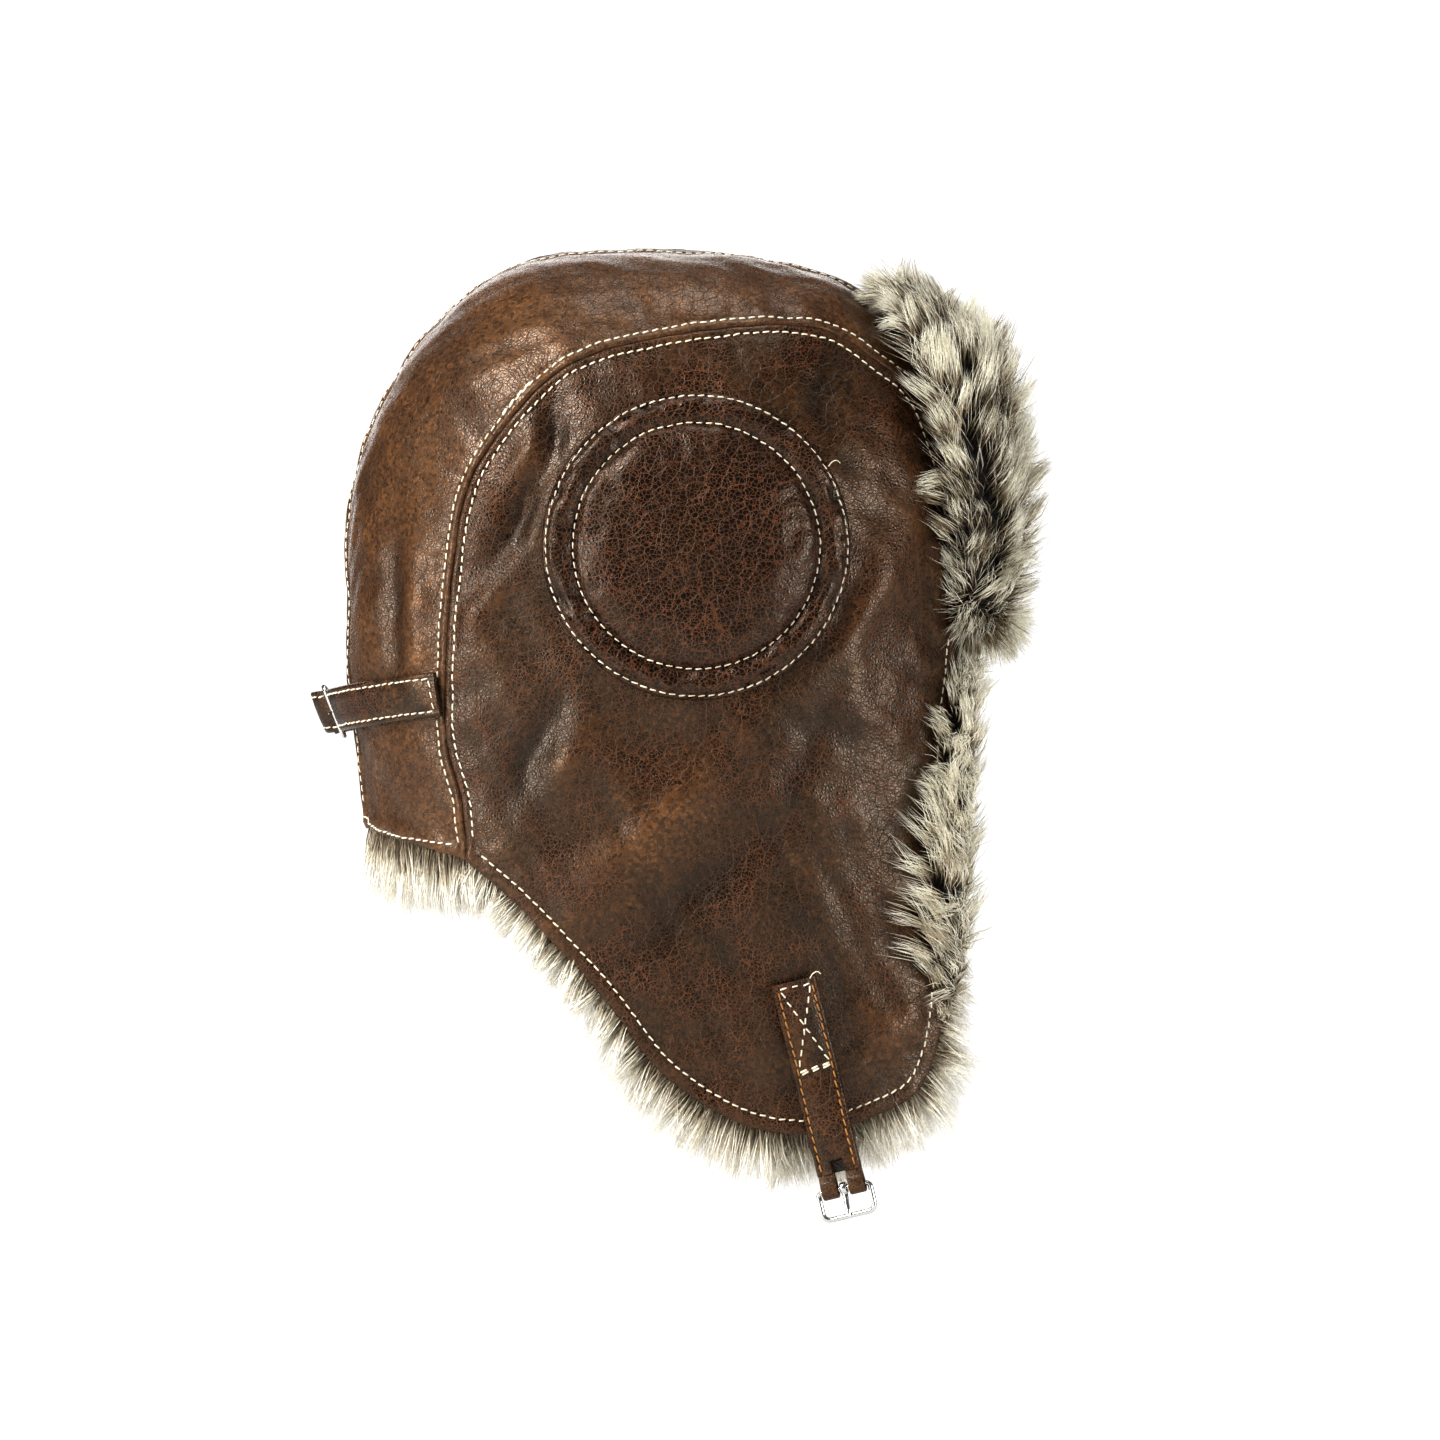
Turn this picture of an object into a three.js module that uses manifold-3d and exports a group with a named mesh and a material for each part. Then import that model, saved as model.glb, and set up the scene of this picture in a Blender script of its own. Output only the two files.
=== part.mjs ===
// A fur-lined leather cap with ear flaps, a turned-up fur visor, a buckled back strap and two chin straps.
// Units are millimetres. +X is the wearer's front, +Y the wearer's left and +Z up.
// The origin is the middle of the head opening, at the height of the brow.
import * as THREE from "three";
import { mergeVertices } from "three/addons/utils/BufferGeometryUtils.js";
import Module from "manifold-3d";

const wasm = await Module();
wasm.setup();

// The leather shell: a crown drawn about a centre in the middle plane, over upright sides.
const CROWN = { x: 14.4, z: 7.2, squareness: 2.4 };
// Outline of the crown in the middle plane: angle up from the front in degrees, and distance from the centre.
const OUTLINE = [
  { angle: 0, radius: 104 },
  { angle: 22, radius: 109.5 },
  { angle: 45, radius: 121 },
  { angle: 64, radius: 127.5 },
  { angle: 78, radius: 126 },
  { angle: 98, radius: 126.9 },
  { angle: 114, radius: 134.8 },
  { angle: 125, radius: 136.4 },
  { angle: 147, radius: 132.7 },
  { angle: 163, radius: 127.8 },
  { angle: 180, radius: 123.4 },
];
// Sides below the crown's centre: places of the back and front, and half width, at a height.
const SECTIONS = [
  { z: -210, back: -104, front: 150, side: 73 },
  { z: -150, back: -103, front: 140, side: 79 },
  { z: -110, back: -102, front: 131, side: 83 },
  { z: -75, back: -102, front: 124, side: 87 },
  { z: -45, back: -105.5, front: 120.5, side: 89.8 },
  { z: -18, back: -108.6, front: 118.8, side: 91.6 },
  { z: 7.2, back: -109, front: 118.4, side: 92 },
];
const LEATHER = { thick: 1.6, gap: 0.3, seamGap: 0.2 };
const LINING = { thick: 8, relief: 1.2, reliefPitch: 15, seamGap: 0.6 };

// Seam between the crown panels and the side panels, seen from the side: from the brow over the top to the
// nape.
const SEAM = [
  { x: 112.5, z: 0 },
  { x: 110, z: 28 },
  { x: 104.5, z: 56 },
  { x: 95.8, z: 79 },
  { x: 81.5, z: 92 },
  { x: 63, z: 103 },
  { x: 32, z: 104 },
  { x: 2, z: 99.5 },
  { x: -29, z: 90.5 },
  { x: -48.5, z: 72 },
  { x: -62, z: 52 },
  { x: -69.5, z: 22 },
  { x: -72.5, z: -20 },
  { x: -72, z: -44 },
  { x: -66.5, z: -66 },
  { x: -65, z: -86 },
];
// Free edge of a side panel, from the nape round the ear flap and up its front to the brow.
const HEM = [
  { x: -65, z: -86 },
  { x: -45, z: -104 },
  { x: -16, z: -135.5 },
  { x: 4, z: -161 },
  { x: 31, z: -179 },
  { x: 55, z: -183.5 },
  { x: 77.5, z: -178 },
  { x: 97, z: -167 },
  { x: 105, z: -141 },
  { x: 105.5, z: -95 },
  { x: 108.5, z: -40 },
  { x: 112.5, z: 0 },
];
const NAPE_Z = -75;
const SEAM_STEPS = 22;
const HEM_STEPS = 20;
// Search for the shell's surface from its middle: farthest place tried, and number of halvings.
const SEARCH = { far: 140, halvings: 40 };

// Folds and dents of the leather: middle in the side view, turn of the long axis, half length, half width
// and height. They fade in over a distance from the patch.
const FOLDS = [
  { x: -91, z: 5, turn: 90, long: 24, wide: 4, lift: -2.4 },
  { x: -83, z: -2, turn: 92, long: 28, wide: 5, lift: 1.6 },
  { x: -100, z: -4, turn: 88, long: 32, wide: 6, lift: 1.2 },
  { x: -34, z: 69, turn: 95, long: 12, wide: 5, lift: -1.8 },
  { x: -48, z: 31, turn: 61, long: 27, wide: 6, lift: -3 },
  { x: -58, z: 8, turn: 62, long: 20, wide: 7, lift: 2 },
  { x: -28, z: -51, turn: 67, long: 13, wide: 6, lift: 1.8 },
  { x: -40, z: -44, turn: 62, long: 20, wide: 7, lift: -1.8 },
  { x: 2, z: -74, turn: 45, long: 36, wide: 9, lift: 2.8 },
  { x: 18, z: -96, turn: 43, long: 34, wide: 9, lift: -1.8 },
  { x: 76, z: 0, turn: 65, long: 44, wide: 8, lift: 2.4 },
  { x: 61, z: -34, turn: 66, long: 26, wide: 6, lift: -2 },
  { x: 61, z: 79, turn: 90, long: 18, wide: 5, lift: -1.6 },
  { x: 88, z: -146, turn: 60, long: 14, wide: 9, lift: 2 },
];
const FOLD_FADE = 9;

// Padded round patch over each ear, with its two rings of stitches as grooves.
const PATCH = {
  x: 16.7,
  z: 25.6,
  radius: 54.6,
  outerStitch: 53.2,
  innerStitch: 43.4,
  lift: 0.9,
  sectors: 24,
};
const PATCH_PROFILE = [
  { radius: 0, height: 5.6 },
  { radius: 22, height: 5.3 },
  { radius: 37, height: 4 },
  { radius: PATCH.innerStitch, height: 1.4 },
  { radius: 48.4, height: 3 },
  { radius: PATCH.outerStitch, height: 1.3 },
  { radius: PATCH.radius, height: 1.1 },
];

// Turned-up visor: for each height its half width and how far it stands off the crown, and how far
// the locks of its fur rise off the pile and how long they are.
const VISOR = [
  { z: -3.4, half: 43, stand: 0.3, lift: 1, length: 28 },
  { z: 6, half: 47, stand: 1.6, lift: 2, length: 28 },
  { z: 28, half: 51, stand: 3, lift: 7, length: 29 },
  { z: 52, half: 52, stand: 5, lift: 14, length: 29 },
  { z: 77, half: 49, stand: 8, lift: 13, length: 25 },
  { z: 98, half: 40, stand: 9.5, lift: 7, length: 21 },
  { z: 111, half: 26, stand: 9, lift: 5, length: 18 },
];
const VISOR_GRID = { rows: 8, columns: 12 };
const VISOR_FUR = {
  thick: 9,
  thin: 2.5,
  lockRows: 4,
  firstRow: 0.4,
  lockSpacing: 17,
  lockWidth: 22,
  lockDepth: 7.2,
  rootDepth: 0.6,
  splay: 0.45,
  edge: 0.84,
  uneven: 2.5,
};

// Straps and the wire buckles that take them.
const STRAP = { width: 16.5, thick: 3, lift: 0.9 };
const BUCKLE = { length: 10, halfWidth: 9.6, wire: 1.8, barRadius: 1.1, cornerRadius: 2.4 };
const LOOP = { inner: 1.5, outer: 3, slot: 2.1, slotDepth: 5.5, overlap: 0.6, sides: 12 };
const PRONG = {
  ringInner: 1.45,
  ringOuter: 2.4,
  ringWidth: 2.4,
  width: 2,
  tipWidth: 1.2,
  thick: 1.2,
  overlap: 0.4,
  beforeEndBar: 0.6,
};
// The chin straps: middle of the top end, lean towards the front, sewn length, length to the buckle's heel
// bar, and turn of the lower end about the strap's own length.
const CHIN = { x: 51.3, z: -128.7, lean: 13.9, sewn: 31, length: 75.8, twist: 12 };
// Distances along a chin strap from the sewn end: where its twist begins, where it comes off the flap and
// where it hangs free, and how far above the heel bar the twist is complete.
const CHIN_HANG = { twistFrom: 27, offFrom: 24, freeFrom: 43, twistToHeel: 16, steps: 8 };
const TAB = { length: 12, inset: 0.5, back: -1.5, front: 1 };
const TONGUE_TIP = { shoulder: 12, taper: 6, narrow: 2, past: 2, half: 2.5 };
const HOLES = { count: 4, radius: 1.4, pitch: 9, first: 6, sides: 8 };
// The back strap: half of its length and its height at the seams and in the middle, its stand off the crown
// there, its tilt, the heel bar's place, and the width and thickness of the half that runs through.
const BACK = {
  seamY: 68,
  seamZ: -27,
  middleZ: -32,
  lift: 1.2,
  loose: 1.7,
  stand: 2.1,
  tilt: 15,
  free: { from: 8, to: 62 },
  heelY: 6,
  tongueHalf: 7.8,
  tongueThick: 2,
  slotTo: 10.1,
  slotFrom: 1.1,
};

// Fur along the free edges: locks in a row, longer at the nape and at the flap's end. At the flap's front
// edge, between two heights, a second lock curls over the leather.
const FRINGE = {
  spacing: 15,
  length: 19,
  uneven: 3,
  lowerFromZ: -120,
  lowerMore: 4,
  napeLength: 27,
  napeCount: 6,
  napeFromMiddle: 9,
  napeSpacing: 9.5,
  napeSplay: 0.06,
  width: 16,
  depth: 6,
  frontFromX: 80,
  frontCurlFromZ: -130,
  frontEndZ: -30,
};
// Courses of the locks: shares of a lock's length off the edge and along the fall, and depth under the
// leather's face. The curl's steps are millimetres.
const STRAIGHT_LOCK = [
  { out: -0.26, fall: 0, depth: 6.5 },
  { out: 0.45, fall: 0.15, depth: 6 },
  { out: 0.85, fall: 0.5, depth: 3 },
];
const CURLED_LOCK = [
  { out: 0, fall: 0, depth: 7.5 },
  { out: 9.5, fall: 2, depth: 1 },
  { out: 7, fall: 6, depth: -7 },
  { out: -9, fall: 15, depth: -9 },
];
const NAPE_LOCK = [
  { drop: -0.18, depth: 6.5 },
  { drop: 0.5, depth: 6 },
  { drop: 1, depth: 4 },
];

const COLOURS = { leather: 0x4a2b1b, patch: 0x38221a, lining: 0xb9ac96, visor: 0xa3947e, metal: 0xc8c8c8 };

const leather = new THREE.MeshStandardMaterial({ color: COLOURS.leather, roughness: 0.5 });
const patchLeather = new THREE.MeshStandardMaterial({ color: COLOURS.patch, roughness: 0.5 });
const liningFur = new THREE.MeshStandardMaterial({ color: COLOURS.lining, roughness: 0.95 });
const visorFur = new THREE.MeshStandardMaterial({ color: COLOURS.visor, roughness: 0.95 });
const steel = new THREE.MeshStandardMaterial({ color: COLOURS.metal, roughness: 0.2, metalness: 1 });

const RIGHT = -1;
const LEFT = 1;
const smooth = THREE.MathUtils.smoothstep;
const radians = THREE.MathUtils.degToRad;

// The leather surface.

// Value in one column of a table at a place in another: a cubic through the rows, level at the two ends.
function read(rows, key, column, at) {
  const place = THREE.MathUtils.clamp(at, rows[0][key], rows.at(-1)[key]);
  let i = 0;
  while (i + 2 < rows.length && place > rows[i + 1][key]) i++;
  const slope = (k) =>
    k === 0 || k === rows.length - 1
      ? 0
      : (rows[k + 1][column] - rows[k - 1][column]) / (rows[k + 1][key] - rows[k - 1][key]);
  const span = rows[i + 1][key] - rows[i][key];
  const t = (place - rows[i][key]) / span;
  const rise = rows[i + 1][column] - rows[i][column];
  const bend = (1 - t) * slope(i) - t * slope(i + 1);
  return rows[i][column] + t * t * (3 - 2 * t) * rise + span * t * (1 - t) * bend;
}

// Place of a point of the side view between the shell's middle and its outline, which is at 1.
function gauge(x, z) {
  const ahead = x - CROWN.x;
  if (z < CROWN.z) {
    const limit = read(SECTIONS, "z", ahead < 0 ? "back" : "front", z) - CROWN.x;
    return ahead / limit;
  }
  const angle = THREE.MathUtils.radToDeg(Math.atan2(z - CROWN.z, ahead));
  return Math.hypot(ahead, z - CROWN.z) / read(OUTLINE, "angle", "radius", angle);
}

// Level function of the shell, zero on its surface.
function level(x, y, z) {
  const across = Math.abs(y) / read(SECTIONS, "z", "side", z);
  return Math.pow(gauge(x, z), CROWN.squareness) + Math.pow(across, CROWN.squareness) - 1;
}

// Half width of the shell at a point of the side view.
function halfWidth(x, z) {
  const left = Math.max(0, -level(x, 0, z));
  return read(SECTIONS, "z", "side", z) * Math.pow(left, 1 / CROWN.squareness);
}

// Reach of the shell to the front (or the back) at a height and a distance from the middle plane.
function reach(y, z, forward) {
  const step = forward ? 1 : -1;
  let [near, far] = [CROWN.x, CROWN.x + SEARCH.far * step];
  for (let i = 0; i < SEARCH.halvings; i++) {
    const x = (near + far) / 2;
    if (level(x, y, z) < 0) near = x;
    else far = x;
  }
  return near;
}

// Outward normal of the shell, from central differences of the level function.
function normalAt(point) {
  const step = 0.05;
  return new THREE.Vector3(
    level(point.x + step, point.y, point.z) - level(point.x - step, point.y, point.z),
    level(point.x, point.y + step, point.z) - level(point.x, point.y - step, point.z),
    level(point.x, point.y, point.z + step) - level(point.x, point.y, point.z - step),
  ).normalize();
}

// Height of the folds at a point of the side view; they fade out under the padded patch.
function foldHeight(x, z) {
  let height = 0;
  for (const fold of FOLDS) {
    const turn = radians(fold.turn);
    const along = (x - fold.x) * Math.cos(turn) + (z - fold.z) * Math.sin(turn);
    const across = (z - fold.z) * Math.cos(turn) - (x - fold.x) * Math.sin(turn);
    height += fold.lift * Math.exp(-Math.pow(along / fold.long, 2) - Math.pow(across / fold.wide, 2));
  }
  const fromPatch = Math.hypot(x - PATCH.x, z - PATCH.z);
  return height * smooth(fromPatch, PATCH.radius, PATCH.radius + FOLD_FADE);
}

// A point of the leather's outer face given in the side view, moved inwards by a depth.
function skin(x, z, side, depth, seamGap = LEATHER.seamGap) {
  const y = side * Math.max(seamGap, halfWidth(x, z));
  return skinFrom(new THREE.Vector3(x, y, z), depth);
}

// A point of the surface moved inwards by a depth, with the folds' height added.
function skinFrom(base, depth) {
  const lift = foldHeight(base.x, base.z) - depth;
  return base.clone().addScaledVector(normalAt(base), lift);
}

// Meshes.

// A closed wall between two grids of points. Each row runs across; with round, each row is a closed loop
// and the first row is one point.
function wall(outer, inner, round) {
  const positions = [];
  const triangles = [];
  const add = (point) => positions.push(point.x, point.y, point.z) / 3 - 1;
  const number = (grid) =>
    grid.map((row, i) => {
      const single = round && i === 0 ? add(row[0]) : null;
      return row.map((point) => single ?? add(point));
    });
  const top = number(outer);
  const bottom = number(inner);
  const quad = (a, b, c, d) => {
    if (a !== b) triangles.push(a, b, c);
    if (a !== d) triangles.push(a, c, d);
  };
  const rows = top.length;
  const columns = top[0].length;
  const next = (j) => (j + 1) % columns;
  const lastColumn = round ? columns : columns - 1;
  for (let i = 0; i + 1 < rows; i++) {
    for (let j = 0; j < lastColumn; j++) {
      const k = next(j);
      quad(top[i][j], top[i][k], top[i + 1][k], top[i + 1][j]);
      quad(bottom[i][j], bottom[i + 1][j], bottom[i + 1][k], bottom[i][k]);
    }
  }
  for (let j = 0; j < lastColumn; j++) {
    const k = next(j);
    quad(top[rows - 1][j], top[rows - 1][k], bottom[rows - 1][k], bottom[rows - 1][j]);
    if (!round) quad(bottom[0][j], bottom[0][k], top[0][k], top[0][j]);
  }
  for (let i = 0; !round && i + 1 < rows; i++) {
    const end = columns - 1;
    quad(top[i][end], bottom[i][end], bottom[i + 1][end], top[i + 1][end]);
    quad(bottom[i][0], top[i][0], top[i + 1][0], bottom[i + 1][0]);
  }
  const geometry = new THREE.BufferGeometry();
  geometry.setAttribute("position", new THREE.Float32BufferAttribute(positions, 3));
  geometry.setIndex(triangles);
  return facingOut(geometry);
}

// Turns every face round when the mesh is inside out, which its signed volume shows.
function facingOut(geometry) {
  const index = geometry.index.array;
  const position = geometry.attributes.position;
  const [a, b, c] = [new THREE.Vector3(), new THREE.Vector3(), new THREE.Vector3()];
  let volume = 0;
  for (let i = 0; i < index.length; i += 3) {
    a.fromBufferAttribute(position, index[i]);
    b.fromBufferAttribute(position, index[i + 1]);
    c.fromBufferAttribute(position, index[i + 2]);
    volume += a.dot(b.cross(c));
  }
  for (let i = 0; volume < 0 && i < index.length; i += 3) {
    [index[i + 1], index[i + 2]] = [index[i + 2], index[i + 1]];
  }
  return geometry;
}

function solidFrom(geometry) {
  const bare = geometry.clone();
  for (const name of Object.keys(bare.attributes)) {
    if (name !== "position") bare.deleteAttribute(name);
  }
  const merged = mergeVertices(bare, 1e-4);
  const vertProperties = merged.attributes.position.array;
  const triVerts = new Uint32Array(merged.index.array);
  return new wasm.Manifold(new wasm.Mesh({ numProp: 3, vertProperties, triVerts }));
}

function geometryFrom(solid) {
  const mesh = solid.getMesh();
  const geometry = new THREE.BufferGeometry();
  geometry.setAttribute("position", new THREE.BufferAttribute(mesh.vertProperties, 3));
  geometry.setIndex(new THREE.BufferAttribute(mesh.triVerts, 1));
  return geometry;
}

// Joins closed meshes into one. Pockets sealed in between them are filled.
function joined(geometries) {
  const whole = geometries.map(solidFrom).reduce((sum, piece) => sum.add(piece));
  const outside = whole.decompose().reduce((a, b) => (a.volume() > b.volume() ? a : b));
  return geometryFrom(outside);
}

function cut(geometry, tool) {
  return geometryFrom(solidFrom(geometry).subtract(solidFrom(tool)));
}

function mirrored(geometry) {
  const other = geometry.clone();
  other.applyMatrix4(new THREE.Matrix4().makeScale(1, -1, 1));
  return facingOut(other);
}

// Cross sections of a lock of fur along its length, before its tip.
const LOCK_RINGS = [
  { share: 0, size: 1 },
  { share: 0.6, size: 0.85 },
];

// A tapered lock of fur through a few points: four-sided, and wide in the sideways direction.
function lock(points, sideways, width, thick) {
  const curve = new THREE.CatmullRomCurve3(points);
  const positions = [];
  const triangles = [];
  for (const { share, size } of LOCK_RINGS) {
    const centre = curve.getPoint(share);
    const tangent = curve.getTangent(share);
    const across = sideways.clone().addScaledVector(tangent, -sideways.dot(tangent)).normalize();
    const through = new THREE.Vector3().crossVectors(across, tangent);
    for (const [a, b] of [[1, 0], [0, 1], [-1, 0], [0, -1]]) {
      const point = centre.clone().addScaledVector(across, (a * width * size) / 2);
      point.addScaledVector(through, (b * thick * size) / 2);
      positions.push(...point.toArray());
    }
  }
  positions.push(...curve.getPoint(1).toArray());
  const last = LOCK_RINGS.length - 1;
  for (let j = 0; j < 4; j++) {
    const k = (j + 1) % 4;
    for (let i = 0; i < last; i++) {
      const [a, b] = [i * 4, (i + 1) * 4];
      triangles.push(a + j, a + k, b + k, a + j, b + k, b + j);
    }
    triangles.push(last * 4 + j, last * 4 + k, (last + 1) * 4);
  }
  triangles.push(0, 2, 1, 0, 3, 2);
  const geometry = new THREE.BufferGeometry();
  geometry.setAttribute("position", new THREE.Float32BufferAttribute(positions, 3));
  geometry.setIndex(triangles);
  return facingOut(geometry);
}

// Curves of the pattern, in the side view.

function stations(table, steps) {
  const curve = new THREE.CatmullRomCurve3(table.map((row) => new THREE.Vector3(row.x, 0, row.z)));
  return curve.getSpacedPoints(steps);
}

const seamPoints = stations(SEAM, SEAM_STEPS);
const hemPoints = stations(HEM, HEM_STEPS);

// Middle line of the crown, from the brow over the top and down the back to the nape.
function middleLine(steps) {
  const path = [new THREE.Vector3(reach(0, 0, true), 0, 0)];
  for (let angle = 0; angle <= 180; angle += 4) {
    const radius = read(OUTLINE, "angle", "radius", angle);
    const [c, s] = [Math.cos(radians(angle)), Math.sin(radians(angle))];
    path.push(new THREE.Vector3(CROWN.x + radius * c, 0, CROWN.z + radius * s));
  }
  const tailSteps = 10;
  for (let i = 1; i <= tailSteps; i++) {
    const z = THREE.MathUtils.lerp(CROWN.z, NAPE_Z, i / tailSteps);
    path.push(new THREE.Vector3(reach(0, z, false), 0, z));
  }
  return new THREE.CatmullRomCurve3(path).getSpacedPoints(steps);
}

const middlePoints = middleLine(SEAM_STEPS);

// Crown panels: strips between the middle line and the side seam.

const CROWN_COLUMNS = 6;

function crownGrid(side, depthAt, seamGap) {
  return seamPoints.map((seam, i) => {
    const middle = middlePoints[i];
    const row = [skinFrom(new THREE.Vector3(middle.x, side * seamGap, middle.z), depthAt(middle))];
    for (let j = 1; j <= CROWN_COLUMNS; j++) {
      const share = Math.pow(j / CROWN_COLUMNS, CROWN.squareness);
      const edge = 1 - seamGap / middle.distanceTo(seam);
      const point = middle.clone().lerp(seam, share * edge);
      row.push(skin(point.x, point.z, side, depthAt(point), seamGap));
    }
    return row;
  });
}

// Side panels: rings about a middle point, out to the seam and the free edge.

const SIDE_MIDDLE = new THREE.Vector3(18, 0, -20);
const SIDE_RINGS = [0, 0.22, 0.42, 0.6, 0.75, 0.88, 1];
const sideOutline = [...seamPoints, ...hemPoints.slice(1, -1)];

function sideGrid(side, depthAt, seamGap) {
  return SIDE_RINGS.map((ring) =>
    sideOutline.map((edge) => {
      const share = ring * (1 - seamGap / SIDE_MIDDLE.distanceTo(edge));
      const point = SIDE_MIDDLE.clone().lerp(edge, share);
      return skin(point.x, point.z, side, depthAt(point));
    }),
  );
}

const outerFace = () => 0;
const innerFace = () => LEATHER.thick;
const liningBack = () => LEATHER.thick + LEATHER.gap;
// The pile's face is gathered into soft locks, as a low wave along both directions.
const liningPile = (point) =>
  LEATHER.thick +
  LEATHER.gap +
  LINING.thick +
  LINING.relief *
    Math.sin((2 * Math.PI * point.x) / LINING.reliefPitch) *
    Math.sin((2 * Math.PI * point.z) / LINING.reliefPitch);

// One layer of a panel: a wall between two depths, on the right-hand side.
const layer = (gridOf, from, to, seamGap, round) =>
  wall(gridOf(RIGHT, from, seamGap), gridOf(RIGHT, to, seamGap), round);
const crownPanel = () => layer(crownGrid, outerFace, innerFace, LEATHER.seamGap, false);
const sidePanel = () => layer(sideGrid, outerFace, innerFace, LEATHER.seamGap, true);

// Locks of fur that hang from the lining's free edges.

// A lock at a panel's edge, given as steps off the edge, along the fall of the hair and in from the face.
function edgeLock(edge, outward, fall, steps, side) {
  const origin = skin(edge.x, edge.z, side, 0);
  const inside = skin(edge.x - 2 * outward.x, edge.z - 2 * outward.z, side, 0);
  const off = origin.clone().sub(inside).normalize();
  const normal = normalAt(origin);
  const points = steps.map((step) =>
    origin
      .clone()
      .addScaledVector(off, step.out)
      .addScaledVector(fall, step.fall)
      .addScaledVector(normal, -step.depth),
  );
  return lock(points, new THREE.Vector3().crossVectors(off, normal), FRINGE.width, FRINGE.depth);
}

// Evenly spaced places along a line of the side view with the direction out of the panel there.
function placesAlong(table) {
  const curve = new THREE.CatmullRomCurve3(table.map((row) => new THREE.Vector3(row.x, 0, row.z)));
  const count = Math.round(curve.getLength() / FRINGE.spacing);
  const places = [];
  for (let i = 0; i < count; i++) {
    const share = (i + 0.5) / count;
    const tangent = curve.getTangentAt(share);
    const outward = new THREE.Vector3(tangent.z, 0, -tangent.x);
    places.push({ edge: curve.getPointAt(share), outward, i });
  }
  return places;
}

// Unevenness of the locks, between -1 and 1.
const wave = (i) => Math.sin(i * 2.4);

function hemFringe(side) {
  const locks = [];
  for (const { edge, outward, i } of placesAlong(HEM)) {
    if (i === 0 || edge.z > FRINGE.frontEndZ) continue;
    const front = edge.x > FRINGE.frontFromX && edge.z > FRINGE.frontCurlFromZ;
    const fall = front ? new THREE.Vector3(0.1, 0, 1) : new THREE.Vector3(0.1, 0, -0.7);
    const lower = edge.z < FRINGE.lowerFromZ ? FRINGE.lowerMore : 0;
    const length = FRINGE.length + FRINGE.uneven * wave(i) + lower;
    const straight = STRAIGHT_LOCK.map((step) => ({
      out: step.out * length,
      fall: step.fall * length,
      depth: step.depth,
    }));
    locks.push(edgeLock(edge, outward, fall, straight, side));
    if (front) locks.push(edgeLock(edge, outward, fall, CURLED_LOCK, side));
  }
  return locks;
}

function napeFringe(side) {
  const edge = middlePoints.at(-1);
  const corner = seamPoints.at(-1);
  const locks = [];
  for (let i = 0; i < FRINGE.napeCount; i++) {
    const fromMiddle = FRINGE.napeFromMiddle + i * FRINGE.napeSpacing;
    const share = (reach(fromMiddle, edge.z, false) - edge.x) / (corner.x - edge.x);
    const hemZ = THREE.MathUtils.lerp(edge.z, corner.z, share);
    const length = FRINGE.napeLength + FRINGE.uneven * wave(i);
    const points = NAPE_LOCK.map(({ drop, depth }) => {
      const fall = drop * length;
      const [y, z] = [side * (fromMiddle + FRINGE.napeSplay * fall), hemZ - fall];
      return skinFrom(new THREE.Vector3(reach(y, z, false), y, z), depth);
    });
    const sideways = new THREE.Vector3().crossVectors(normalAt(points[0]), new THREE.Vector3(0, 0, 1));
    locks.push(lock(points, sideways, FRINGE.width, FRINGE.depth));
  }
  return locks;
}

function crownLining() {
  const backing = layer(crownGrid, liningBack, liningPile, LINING.seamGap, false);
  return joined([backing, ...napeFringe(RIGHT)]);
}

function sideLining() {
  const backing = layer(sideGrid, liningBack, liningPile, LINING.seamGap, true);
  return joined([backing, ...hemFringe(RIGHT)]);
}

// Round padded patch over the ear.

function earPatch() {
  const ringOf = (radius, depth) => {
    const ring = [];
    for (let j = 0; j < PATCH.sectors; j++) {
      const turn = (2 * Math.PI * j) / PATCH.sectors;
      ring.push(skin(PATCH.x + radius * Math.cos(turn), PATCH.z + radius * Math.sin(turn), RIGHT, depth));
    }
    return ring;
  };
  const face = PATCH_PROFILE.map((row) => ringOf(row.radius, -PATCH.lift - row.height));
  const back = PATCH_PROFILE.map((row) => ringOf(row.radius, -PATCH.lift));
  return wall(face, back, true);
}

// Turned-up visor.

// Row of the visor's table at a share of its height.
function visorRow(share) {
  const curve = new THREE.CatmullRomCurve3(VISOR.map((row) => new THREE.Vector3(row.z, row.half, row.stand)));
  const { x: z, y: half, z: stand } = curve.getPointAt(share);
  return { z, half, stand };
}

// A point of the visor: share of its height, place across from -1 to 1, and height above its back face.
function visorPoint(share, across, height) {
  const { z, half, stand } = visorRow(share);
  const y = across * half;
  const base = new THREE.Vector3(reach(y, z, true), y, z);
  return base.addScaledVector(normalAt(base), stand + height);
}

function visorGrid(heightAt) {
  const grid = [];
  for (let i = 0; i <= VISOR_GRID.rows; i++) {
    const row = [];
    for (let j = 0; j <= VISOR_GRID.columns; j++) {
      const [share, across] = [i / VISOR_GRID.rows, (2 * j) / VISOR_GRID.columns - 1];
      row.push(visorPoint(share, across, heightAt(share, across)));
    }
    grid.push(row);
  }
  return grid;
}

const visorBacking = () => wall(visorGrid(() => 0), visorGrid(() => LEATHER.thick), false);

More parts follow.
